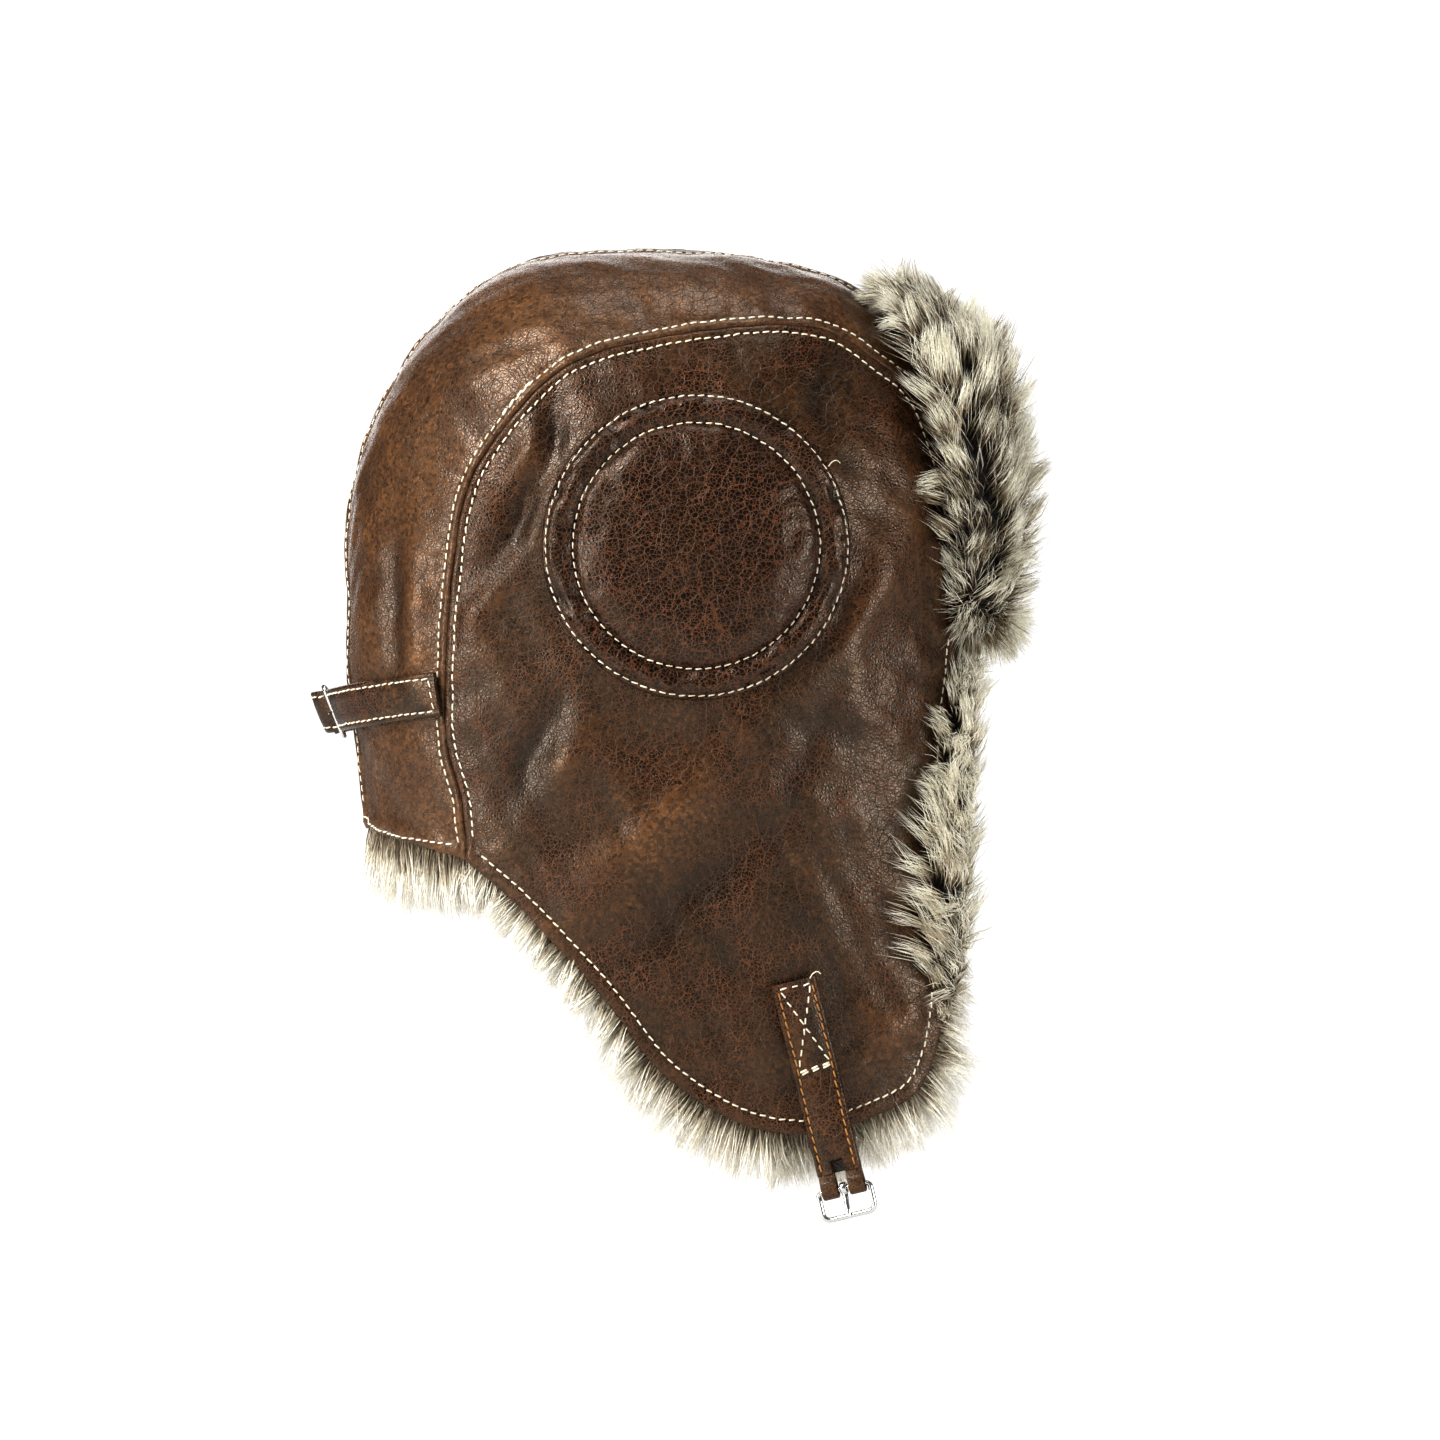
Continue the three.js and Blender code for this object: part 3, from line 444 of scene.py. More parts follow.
@dataclass(frozen=True)
class SeamRelief:
    """How sewing shapes the leather: turned edges, a raised allowance, sunk stitches and puckers."""

    turn: float = 1.1
    allowance: float = 0.5
    stitch: float = 2.9
    hem_stitch: float = 5.2
    ridge: float = 1.7
    ridge_stitch: float = 5.4
    ridge_top: float = 1.5
    ridge_slope: float = 0.3
    ridge_lip: float = 0.8
    ridge_foot: float = 3.0
    groove: float = 0.4
    groove_width: float = 0.85
    settle: float = 1.5
    settle_width: float = 20.0
    pucker: float = 0.5
    pucker_reach: float = 6.5

    def across(self, distance: Array, stitch: float) -> Array:
        """Height across a sewn edge.

        It falls away round a quarter circle at the edge, is raised by the turned-in allowance up to the
        stitches, and has a groove under them.

        Args:
            distance: Distance from the edge.
            stitch: Distance of the stitches from the edge.

        Returns:
            The height at each distance.
        """
        inside = np.clip(1 - distance / self.turn, 0, 1)
        edge = self.turn * (1 - np.sqrt(np.maximum(0, 1 - inside**2)))
        raised = self.allowance * (1 - smoothstep(distance, stitch - 0.6, stitch + 0.9))
        return raised - 0.85 * edge - self.groove * bell(distance, stitch, self.groove_width)

    def puckers(self, distance: Array, along: Array, stitch: float, seed: int) -> Array:
        """Uneven ripples that run away from the stitches and fade out.

        Args:
            distance: Distance from the edge.
            along: Distance along the edge.
            stitch: Distance of the stitches from the edge.
            seed: Choice of the unevenness.

        Returns:
            The height at each distance.
        """
        shift = 1.9 * np.sin(along / 11.0 + seed) + 1.1 * np.sin(along / 4.7 + 2 * seed)
        phase = 2 * np.pi * along / 8.5 + shift
        strength = 0.55 + 0.45 * np.sin(along / 21.0 + 3 * seed)
        past = np.maximum(0, distance - stitch)
        fade = np.exp(-past / (self.pucker_reach / 2))
        return self.pucker * strength * np.sin(phase) * (past / 2.2) * fade

    def band(self, distance: Array) -> Array:
        """Extra height of the crown's middle seam, an almost flat band out to just past its stitches.

        Args:
            distance: Distance from the middle plane.

        Returns:
            The height at each distance.
        """
        row = self.ridge_stitch
        top = 1 - self.ridge_slope * smoothstep(distance, self.ridge_top, row)
        side = 1 - smoothstep(distance, row + self.ridge_lip, row + self.ridge_foot)
        return (self.ridge - self.allowance) * (top * side)


RELIEF = SeamRelief()


@dataclass(frozen=True)
class LeatherSkin:
    """Height of the leather over the hat's form, its rubbing, and its painted shade."""

    seam: Array
    hem: Array
    nape: Array
    bound: float = 1.2

    def height(self, base: Array) -> tuple[Array, Array]:
        """Height of the leather's face, how rubbed it is, and where shade is painted.

        Args:
            base: Points of the hat's form.

        Returns:
            The height over the form, and a value that is above 0 on what stands proud and is rubbed paler,
            and below 0 in hollows, stitch grooves and the middle seam, where it paints shade.
        """
        flat = base[:, [0, 2]]
        folds = FORM.folds(base[:, 0], base[:, 2])
        middling = ripple(base, 17, 12)
        uneven = 0.6 * ripple(base, 42, 11) + 0.3 * middling + 0.09 * ripple(base, 7, 13)
        height = folds + self.bound * np.tanh(uneven / self.bound)
        sewn = np.zeros(len(base))
        edges = ((self.seam, RELIEF.stitch), (self.hem, RELIEF.hem_stitch), (self.nape, RELIEF.hem_stitch))
        for number, (line, stitch) in enumerate(edges):
            distance, along = nearest(flat, line)
            sewn += RELIEF.across(distance, stitch)
            sewn += RELIEF.puckers(distance, along, stitch, number)
        middle = np.abs(base[:, 1])
        # Paler where raised and rubbed; painted shade in hollow folds, stitch grooves and the middle seam.
        wear = 0.35 * folds + 0.5 * sewn + 0.18 * middling - 0.7 * bell(middle, 0, 3.5)
        sewn += RELIEF.across(middle, RELIEF.ridge_stitch) + RELIEF.band(middle)
        sewn -= RELIEF.settle * bell(middle, 0, RELIEF.settle_width)
        return height + sewn, np.clip(wear, -1, 1)


SKIN = LeatherSkin(PATTERN.seam, PATTERN.hem, PATTERN.nape())


# Meshes.


@dataclass
class Surface:
    """A mesh in millimetres: vertices, faces grouped by their number of corners, and values at vertices."""

    vertices: Array
    faces: list[Whole]
    uv: Array | None = None
    values: dict[str, Array] = field(default_factory=dict)

    def volume(self) -> float:
        """Signed volume: for each face a fan of triangles, each with the origin a tetrahedron.

        Returns:
            The volume, below 0 where the faces point inwards.
        """
        total = 0.0
        for rows in self.faces:
            first = self.vertices[rows[:, 0]]
            for k in range(1, rows.shape[1] - 1):
                second, third = self.vertices[rows[:, k]], self.vertices[rows[:, k + 1]]
                total += float((first * np.cross(second, third)).sum())
        return total / 6

    def facing_out(self) -> Surface:
        """The mesh with its faces turned outwards.

        Returns:
            The mesh itself, or one with its faces turned round.
        """
        if self.volume() >= 0:
            return self
        return Surface(self.vertices, [rows[:, ::-1] for rows in self.faces], self.uv, self.values)

    @staticmethod
    def merged(parts: list[Surface]) -> Surface:
        """Several meshes as one, each turned outwards first.

        Args:
            parts: The meshes.

        Returns:
            One mesh, in which a value that a part lacks is 0.
        """
        parts = [part.facing_out() for part in parts]
        offsets = np.cumsum([0] + [len(part.vertices) for part in parts])
        faces = [rows + offset for part, offset in zip(parts, offsets) for rows in part.faces]
        uv = np.concatenate([p.uv for p in parts]) if all(p.uv is not None for p in parts) else None
        names = sorted({name for part in parts for name in part.values})
        values = {
            name: np.concatenate([p.values.get(name, np.zeros(len(p.vertices))) for p in parts])
            for name in names
        }
        return Surface(np.concatenate([part.vertices for part in parts]), faces, uv, values)


def grid_faces(number: Whole, wrap: bool = False) -> Whole:
    """Four-cornered faces between the rows and columns of a grid of vertex numbers.

    Args:
        number: Vertex numbers, rows by columns.
        wrap: Whether the last column joins the first.

    Returns:
        One row of four corners for each face.
    """
    if wrap:
        number = np.concatenate([number, number[:, :1]], axis=1)
    corners = [number[:-1, :-1], number[:-1, 1:], number[1:, 1:], number[1:, :-1]]
    return np.stack(corners, axis=-1).reshape(-1, 4)


def rim_faces(fine: Whole, coarse: Whole, closed: bool, turned: bool) -> Whole:
    """Faces between the border of a fine grid and that of a coarser one.

    Args:
        fine: Vertex numbers along the fine border.
        coarse: Vertex numbers along the coarse border.
        closed: Whether the borders are loops.
        turned: Whether the faces run the other way round.

    Returns:
        One row of corners for each step of the coarse border.
    """
    steps = len(coarse) if closed else len(coarse) - 1
    stride = (len(fine) if closed else len(fine) - 1) // steps
    k = np.arange(steps)
    chain = fine[(k[:, None] * stride + np.arange(stride + 1)) % len(fine)]
    rows = np.concatenate([chain, coarse[(k + 1) % len(coarse)][:, None], coarse[k][:, None]], axis=1)
    return rows[:, ::-1] if turned else rows


def wall(outer: Array, inner: Array, stride: int) -> tuple[Array, list[Whole]]:
    """A closed wall between two grids of points, the second of which takes every few rows and columns.

    Args:
        outer: Points of one face, rows by columns by 3.
        inner: Points of the other face on the same grid.
        stride: Rows and columns of the second face are this far apart.

    Returns:
        The vertices and the faces.
    """
    thinned = inner[::stride, ::stride]
    a = np.arange(outer.shape[0] * outer.shape[1]).reshape(outer.shape[:2])
    b = a.size + np.arange(thinned.shape[0] * thinned.shape[1]).reshape(thinned.shape[:2])
    faces = [grid_faces(a), grid_faces(b)[:, ::-1]]
    for fine, coarse, turned in ((a, b, False), (a.T, b.T, True)):
        faces.append(rim_faces(fine[-1], coarse[-1], False, turned))
        faces.append(rim_faces(fine[0], coarse[0], False, not turned))
    return np.concatenate([outer.reshape(-1, 3), thinned.reshape(-1, 3)]), faces


def round_wall(outer: Array, inner: Array, stride: int) -> tuple[Array, list[Whole]]:
    """A closed wall between two sets of rings about a middle point, the second set with fewer rings.

    Args:
        outer: Points of one face, rings by sectors by 3; the first ring is one repeated point.
        inner: Points of the other face on the same grid.
        stride: The second face takes every few rings and sectors.

    Returns:
        The vertices and the faces.
    """
    faces: list[Whole] = []
    vertices: list[Array] = []
    borders: list[Whole] = []
    start = 0
    for points, turned in ((outer, False), (inner[::stride, ::stride], True)):
        rings, sectors = points.shape[0] - 1, points.shape[1]
        vertices += [points[0, :1], points[1:].reshape(-1, 3)]
        number = start + 1 + np.arange(rings * sectors).reshape(rings, sectors)
        fan = np.stack([np.full(sectors, start), np.roll(number[0], -1), number[0]], axis=1)
        quads = grid_faces(number, wrap=True)
        faces += [fan[:, ::-1] if turned else fan, quads[:, ::-1] if turned else quads]
        borders.append(number[-1])
        start += 1 + rings * sectors
    faces.append(rim_faces(borders[0], borders[1], True, False))
    return np.concatenate(vertices), faces


def ring_values(values: Array) -> Array:
    """Values given on rings about a middle point as one row, with the middle's own value once."""
    return np.concatenate([values[0, :1], values[1:].ravel()])


def shaded_worn_wall(vertices: Array, faces: list[Whole], wear: Array) -> Surface:
    """A wall of leather whose outer face, its first vertices, has the given rubbing and painted shade."""
    hidden = np.zeros(len(vertices) - len(wear))
    return Surface(vertices, faces, None, {"wear": np.concatenate([wear, hidden])})


def profile_uv(length: Array, columns: int) -> Array:
    """UV of a profile's points along a path: distance along it, and place round the profile from 0 to 1."""
    grid = np.broadcast_arrays(length[:, None], np.linspace(0, 1, columns)[None])
    return np.stack(grid, axis=-1).reshape(-1, 2)


def pile_uv(count: int, place: float, low: float, high: float, seed: int) -> Array:
    """UV of a bed of pile: one place along the hair for all vertices, and a seeded tone for each."""
    tone = np.random.default_rng(seed).uniform(low, high, count)
    return np.stack([np.full(count, place), tone], axis=1)


def tube(points: Array) -> Surface:
    """A closed profile's points along a path, joined into a tube with flat ends.

    Args:
        points: Places along the path by points round the profile by 3.

    Returns:
        The closed mesh, with distance along it in centimetres and place round it as its UV.
    """
    rows, columns = points.shape[:2]
    number = np.arange(rows * columns).reshape(rows, columns)
    faces = [grid_faces(number, wrap=True), number[:1, ::-1], number[-1:]]
    length = arc_lengths(points.mean(axis=1)) / 10
    return Surface(points.reshape(-1, 3), faces, profile_uv(length, columns))


def hoop(points: Array) -> Surface:
    """A closed profile's points along a closed path, joined into a ring.

    Args:
        points: Places along the path by points round the profile by 3.

    Returns:
        The closed ring.
    """
    rows, columns = points.shape[:2]
    number = np.arange(rows * columns).reshape(rows, columns)
    faces = [grid_faces(np.concatenate([number, number[:1]]), wrap=True)]
    return Surface(points.reshape(-1, 3), faces, profile_uv(np.arange(rows) / 10, columns))


def carried(path: Array, side: Array, up: Array, section: Array) -> Array:
    """Points of a profile carried along a path: path + section x side + section x up.

    Args:
        path: Points of the path.
        side: Direction of the profile's first number, for each point or for all.
        up: Direction of its second number.
        section: Profile points by 2, the same all along or one set for each point.

    Returns:
        Places along the path by points of the profile by 3.
    """
    side = np.broadcast_to(side, path.shape)
    up = np.broadcast_to(up, path.shape)
    return path[:, None] + section[..., :1] * side[:, None] + section[..., 1:] * up[:, None]


def circle(radius: float, count: int, squash: float = 1.0) -> Array:
    """Points round a circle, or an ellipse whose height is squash times its width."""
    turn = turns(count)
    return np.stack([radius * np.cos(turn), squash * radius * np.sin(turn)], axis=1)


def rounded_strip(half: float, thick: float, corner: float) -> Array:
    """Profile of a flat strip: a rectangle with quarter-circle corners.

    Args:
        half: It runs across from -half to half.
        thick: It runs up from 0 to this.
        corner: Radius of the corners.

    Returns:
        Its points, one row each.
    """
    turn = np.linspace(0, np.pi / 2, 4)
    rows = []
    for x, high, start in ((half, False, -0.5), (half, True, 0.0), (-half, True, 0.5), (-half, False, 1.0)):
        middle = np.array([x - math.copysign(corner, x), thick - corner if high else corner])
        rows.append(middle + polar(corner, np.pi * start + turn))
    return np.concatenate(rows)


def add_piece(
    name: str,
    surface: Surface,
    finish: bpy.types.Material,
    slot: Slot,
    *replaced: str,
    body: Body = Body.HAT,
) -> bpy.types.Object:
    """Puts a surface into the scene as a piece of the hat.

    Args:
        name: The piece's name.
        surface: Its mesh in millimetres.
        finish: Its material.
        slot: The record's slot that the finish belongs to; not used.
        *replaced: CAD nodes that it stands for.
        body: The body that it rides on.

    Returns:
        The new object.
    """
    surface = surface.facing_out()
    mesh = bpy.data.meshes.new(name)
    loops = np.concatenate([rows.ravel() for rows in surface.faces])
    corners = np.concatenate([np.full(len(rows), rows.shape[1]) for rows in surface.faces])
    starts = np.cumsum(corners) - corners
    mesh.vertices.add(len(surface.vertices))
    mesh.vertices.foreach_set("co", (surface.vertices * MM).astype(np.float32).ravel())
    mesh.loops.add(len(loops))
    mesh.loops.foreach_set("vertex_index", loops.astype(np.int32))
    mesh.polygons.add(len(corners))
    mesh.polygons.foreach_set("loop_start", starts.astype(np.int32))
    mesh.update(calc_edges=True)
    mesh.polygons.foreach_set("use_smooth", np.ones(len(corners), bool))
    if surface.uv is not None:
        mesh.uv_layers.new(name="UVMap").data.foreach_set("uv", surface.uv[loops].astype(np.float32).ravel())
    for key, value in surface.values.items():
        mesh.attributes.new(key, "FLOAT", "POINT").data.foreach_set("value", value.astype(np.float32))
    mesh.set_sharp_from_angle(angle=math.radians(55))
    mesh.materials.append(finish)
    made = bpy.data.objects.new(name, mesh)
    bpy.context.scene.collection.objects.link(made)
    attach(made, body.value)
    if replaced:
        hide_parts(*replaced)
    log.info("%s: %d triangles", name, int((corners - 2).sum()))
    return made


# Hair.


@dataclass(frozen=True)
class Coat:
    """How one kind of hair is made: its thickness, its tufts and how unruly it is."""

    radius: float = 0.24
    rings: int = 3
    tuft: float = 5.0
    gather: float = 0.8
    frizz: float = 0.06
    wave: float = 0.02
    lean: float = 0.22
    unfold: float = 1.3
    taper: float = 0.75
    tuft_tone: float = 0.58

    def grow(self, roots: Array, first: Array, last: Array, lengths: Array, seed: int) -> Surface:
        """Grows tapered three-sided hairs.

        A hair starts in one direction and turns evenly to another: root + length * (first * (t - t^2 / 2) +
        last * t^2 / 2). Where the two point against each other, the last is turned away first, so that no
        hair folds back on itself. It is then drawn towards the middle hair of its tuft, more towards its tip.

        Args:
            roots: Where the hairs start.
            first: Their directions there.
            last: Their directions at the tips.
            lengths: Their lengths.
            seed: Choice of the tufts and of the unevenness.

        Returns:
            The closed hairs, with place along the hair and tone as UV.
        """
        rng = np.random.default_rng(seed)
        count = len(roots)
        t = np.linspace(0, 1, self.rings + 1)
        bend = (t**2 / 2)[None, :, None]
        ahead = (t - t**2 / 2)[None, :, None]
        length = lengths[:, None, None]
        stray = unit(rng.normal(size=(count, 3)))
        tufts = max(2, int(count / max(1.0, self.tuft)))
        middles = rng.choice(count, tufts, replace=False)
        owner = self.owners(roots, roots[middles])
        lean = rng.normal(0, self.lean, (tufts, 3))[owner]
        first, last = unit(unit(first) + 0.5 * lean), unit(unit(last) + lean)
        folded = np.maximum(0.0, -(first * last).sum(axis=1, keepdims=True))
        last = unit(last + self.unfold * folded * first)
        line = roots[:, None] + length * (first[:, None] * ahead + last[:, None] * bend)
        pull = np.interp(t, [0, 0.33, 0.66, 1], [0, 0.3, 0.65, 0.95])[None, :, None] * self.gather
        pull = pull * rng.uniform(0.55, 1.0, (count, 1, 1))
        line = line + pull * (line[middles][owner] - line)
        line = line + length * stray[:, None] * (self.frizz * t**1.5)[None, :, None]
        turn = 2 * np.pi * (t[None, :] * rng.uniform(0.8, 2.2, (count, 1)) + rng.uniform(0, 1, (count, 1)))
        curl = (self.wave * np.sin(turn) * t)[:, :, None]
        line = line + length * np.roll(stray, 1, axis=1)[:, None] * curl
        tangent = unit(np.gradient(line, axis=1))
        side = unit(np.cross(tangent, stray[:, None]))
        up = np.cross(tangent, side)
        angle = (2 * np.pi * np.arange(3) / 3)[:, None]
        width = self.radius * (1 - self.taper * t[:-1] ** 1.3) * rng.uniform(0.7, 1.25, (count, 1))
        width = width[:, :, None, None]
        ring = line[:, :-1, None] + width * np.cos(angle) * side[:, :-1, None]
        ring = ring + width * np.sin(angle) * up[:, :-1, None]
        vertices = np.concatenate([ring.reshape(count, -1, 3), line[:, -1:]], axis=1)
        tone = self.tuft_tone * rng.uniform(0, 1, tufts)[owner]
        tone = tone + (1 - self.tuft_tone) * rng.uniform(0, 1, count)
        along = np.concatenate([np.repeat(t[:-1], 3), [1.0]])
        uv = np.stack(np.broadcast_arrays(along[None], tone[:, None]), axis=-1)
        return Surface(vertices.reshape(-1, 3), self.faces(count), uv.reshape(-1, 2))

    def faces(self, count: int) -> list[Whole]:
        """Faces of all hairs: one hair's root, sides and tip, repeated.

        Args:
            count: How many hairs.

        Returns:
            The four-cornered faces and the three-cornered ones.
        """
        j = np.arange(3)
        after = (j + 1) % 3
        rows = 3 * np.arange(self.rings - 1)[:, None]
        sides = np.stack([rows + j, rows + after, rows + 3 + after, rows + 3 + j], axis=-1).reshape(-1, 4)
        tip = 3 * self.rings
        ends = np.stack([tip - 3 + j, tip - 3 + after, np.full(3, tip)], axis=-1)
        ends = np.concatenate([[[2, 1, 0]], ends])
        start = (np.arange(count) * (tip + 1))[:, None, None]
        return [(sides[None] + start).reshape(-1, 4), (ends[None] + start).reshape(-1, 3)]

    @staticmethod
    def owners(roots: Array, middles: Array) -> Whole:
        """Number of the tuft whose middle is nearest to each root.

        Args:
            roots: Where the hairs start.
            middles: Where the tufts' middle hairs start.

        Returns:
            A tuft's number for each root.
        """
        blocks = np.array_split(roots, max(1, len(roots) // 2000))
        away = (((block[:, None] - middles[None]) ** 2).sum(axis=2) for block in blocks)
        return np.concatenate([squares.argmin(axis=1) for squares in away])


# Finishes.


def shades(*screens: tuple[int, int, int]) -> list[Colour]:
    """Turns colours as a screen shows them into the light that a shader works with.

    Light is ((screen + 0.055) / 1.055)^2.4, and a straight line near black.

    Args:
        *screens: Red, green and blue of each colour, from 0 to 255.

    Returns:
        The colours, in the same order.
    """
    found = []
    for rgb in screens:
        screen = np.array(rgb) / 255
        light = np.where(screen <= 0.04045, screen / 12.92, ((screen + 0.055) / 1.055) ** 2.4)
        found.append((float(light[0]), float(light[1]), float(light[2]), 1.0))
    return found


Socket = bpy.types.NodeSocket
Feed = Socket | float | int | Colour | tuple[float, float, float]
Feeds = dict[str | int, Feed]


class NodeSheet:
    """A node tree being filled in."""

    def __init__(self, tree: bpy.types.NodeTree) -> None:
        """Starts with an empty tree."""
        self.tree = tree
        tree.nodes.clear()

    def add(self, kind: str, feeds: Feeds | None = None, **settings: object) -> bpy.types.Node:
        """Adds a node.

        Args:
            kind: The node's type.
            feeds: For its inputs, a socket to link or a value to set.
            **settings: Its properties.

        Returns:
            The node.
        """
        node = self.tree.nodes.new(kind)
        for key, value in settings.items():
            setattr(node, key, value)
        for key, feed in (feeds or {}).items():
            if isinstance(feed, bpy.types.NodeSocket):
                self.tree.links.new(feed, node.inputs[key])
            else:
                node.inputs[key].default_value = feed
        return node

    def maths(self, operation: str, first: Feed, second: Feed, clamped: bool = False) -> Socket:
        """One sum of two numbers."""
        feeds = {0: first, 1: second}
        return self.add("ShaderNodeMath", feeds, operation=operation, use_clamp=clamped).outputs[0]

    def times(self, first: Feed, second: Feed) -> Socket:
        """The product of two numbers."""
        return self.maths("MULTIPLY", first, second)

    def plus(self, first: Feed, second: Feed, clamped: bool = False) -> Socket:
        """The sum of two numbers, held between 0 and 1 where that is asked for."""
        return self.maths("ADD", first, second, clamped)

    def blend(self, share: Feed, first: Feed, second: Feed, kind: str = "MIX") -> Socket:
        """A colour between two, or one laid on the other in the way that kind names."""
        feeds = {0: share, 6: first, 7: second}
        return self.add("ShaderNodeMix", feeds, data_type="RGBA", blend_type=kind).outputs[2]

    def scaled(
        self, value: Feed, low: float, high: float, to_low: float = 0.0, to_high: float = 1.0
    ) -> Socket:
        """A number moved evenly from one range to another and held to it."""
        feeds = {0: value, 1: low, 2: high, 3: to_low, 4: to_high}
        return self.add("ShaderNodeMapRange", feeds, clamp=True).outputs[0]

    def noise(self, place: Feed, size: float, detail: float = 3.0, rough: float = 0.55) -> Socket:
        """Noise whose blots are about size metres."""
        feeds = {"Vector": place, "Scale": 1 / size, "Detail": detail, "Roughness": rough}
        return self.add("ShaderNodeTexNoise", feeds).outputs["Fac"]

    def place(self) -> Socket:
        """Places on the piece in its own coordinates."""
        return self.add("ShaderNodeTexCoord").outputs["Object"]

    def attribute(self, name: str) -> Socket:
        """A value kept at the mesh's vertices."""
        return self.add("ShaderNodeAttribute", None, attribute_name=name).outputs["Fac"]

    def bump(self, height: Feed, strength: float, distance: float) -> Socket:
        """The surface's direction, bent by a height given from 0 to 1."""
        feeds = {"Height": height, "Strength": strength, "Distance": distance}
        return self.add("ShaderNodeBump", feeds).outputs[0]

    def finish(self, feeds: Feeds) -> None:
        """Ends a material with its shader."""
        shader = self.add("ShaderNodeBsdfPrincipled", feeds)
        self.add("ShaderNodeOutputMaterial", {0: shader.outputs[0]})

    def ramp(self, place: Feed, stops: list[tuple[float, Colour]]) -> Socket:
        """Colours read along a scale.

        Args:
            place: Place on the scale, from 0 to 1.
            stops: The places and colours between which it blends.

        Returns:
            The colour.
        """
        node = self.add("ShaderNodeValToRGB", {0: place})
        elements = node.color_ramp.elements
        while len(elements) < len(stops):
            elements.new(0.5)
        for element, (position, colour) in zip(elements, stops):
            element.position = position
            element.color = colour
        return node.outputs[0]


def effect(name: str, inputs: dict[str, float | None], outputs: tuple[str, ...]) -> bpy.types.NodeTree:
    """Starts a shader node group.

    Args:
        name: The group's name.
        inputs: Its inputs, a number for each value and None for a place.
        outputs: Its outputs, each a number.

    Returns:
        The empty group.
    """
    group = bpy.data.node_groups.new(name, "ShaderNodeTree")
    for key, value in inputs.items():
        kind = "NodeSocketVector" if value is None else "NodeSocketFloat"
        socket = group.interface.new_socket(name=key, in_out="INPUT", socket_type=kind)
        if value is not None:
            socket.default_value = value
    for key in outputs:
        group.interface.new_socket(name=key, in_out="OUTPUT", socket_type="NodeSocketFloat")
    return group


def crackle_effect() -> bpy.types.NodeTree:
    """Fine cracks round small domed cells.

    The place is shaken by noise. A crack is where the distance to the nearest cell edge is small, and a
    cell's height rises from its edge.

    Returns:
        The group.
    """
    shake_scale, shake_reach, dome_edge = 900.0, 0.0009, 0.45
    group = effect("crackle", {"Place": None, "Cell": 0.001, "Crack": 0.12}, ("Cracks", "Dome", "Tone"))
    sheet = NodeSheet(group)
    given = sheet.add("NodeGroupInput").outputs
    shake = sheet.add("ShaderNodeTexNoise", {"Vector": given["Place"], "Scale": shake_scale, "Detail": 2.0})
    feeds = {0: shake.outputs["Color"], 1: (0.5, 0.5, 0.5)}
    middle = sheet.add("ShaderNodeVectorMath", feeds, operation="SUBTRACT").outputs[0]
    span = sheet.add("ShaderNodeVectorMath", {0: middle, "Scale": shake_reach}, operation="SCALE").outputs[0]
    place = sheet.add("ShaderNodeVectorMath", {0: given["Place"], 1: span}, operation="ADD").outputs[0]
    scale = sheet.maths("DIVIDE", 1.0, given["Cell"])
    edge = sheet.add("ShaderNodeTexVoronoi", {"Vector": place, "Scale": scale}, feature="DISTANCE_TO_EDGE")
    cell = sheet.add("ShaderNodeTexVoronoi", {"Vector": place, "Scale": scale}, feature="F1")
    away = edge.outputs["Distance"]
    cracks = sheet.add("ShaderNodeMapRange", {0: away, 2: given["Crack"], 3: 1.0, 4: 0.0}).outputs[0]
    dome = sheet.scaled(away, 0.0, dome_edge)
    tone = sheet.add("ShaderNodeSeparateColor", {0: cell.outputs["Color"]}).outputs[0]
    sheet.add("NodeGroupOutput", {"Cracks": cracks, "Dome": dome, "Tone": tone})
    return group


def blotch_effect() -> bpy.types.NodeTree:
    """Soft-edged blotches: noise of a chosen size, its contrast raised about the middle.

    Returns:
        The group.
    """
    group = effect("blotches", {"Place": None, "Size": 0.02, "Softness": 0.1}, ("Mask",))
    sheet = NodeSheet(group)
    given = sheet.add("NodeGroupInput").outputs
    scale = sheet.maths("DIVIDE", 1.0, given["Size"])
    feeds = {"Vector": given["Place"], "Scale": scale, "Detail": 4.0, "Roughness": 0.6, "Distortion": 0.4}
    noise = sheet.add("ShaderNodeTexNoise", feeds).outputs["Fac"]
    low = sheet.maths("SUBTRACT", 0.5, given["Softness"])
    high = sheet.maths("ADD", 0.5, given["Softness"])
    mask = sheet.add("ShaderNodeMapRange", {0: noise, 1: low, 2: high}).outputs[0]
    sheet.add("NodeGroupOutput", {"Mask": mask})
    return group


@dataclass(frozen=True)
class Effects:
    """The node groups that the finishes share."""

    crackle: bpy.types.NodeTree
    blotches: bpy.types.NodeTree

    def crackled(
        self, sheet: NodeSheet, place: Feed, cell: float, crack: float
    ) -> bpy.types.NodeOutputs:
        """Places the crackle and returns its outputs."""
        feeds = {"Place": place, "Cell": cell, "Crack": crack}
        return sheet.add("ShaderNodeGroup", feeds, node_tree=self.crackle).outputs

    def blotched(self, sheet: NodeSheet, place: Feed, size: float, softness: float) -> Socket:
        """Places the blotches and returns their mask."""
        feeds = {"Place": place, "Size": size, "Softness": softness}
        return sheet.add("ShaderNodeGroup", feeds, node_tree=self.blotches).outputs["Mask"]


def fresh_material(name: str) -> tuple[bpy.types.Material, NodeSheet]:
    """A new material and its empty node sheet.

    Args:
        name: The material's name.

    Returns:
        The material and its sheet.
    """
    material = bpy.data.materials.new(name)
    material.use_nodes = True
    return material, NodeSheet(material.node_tree)


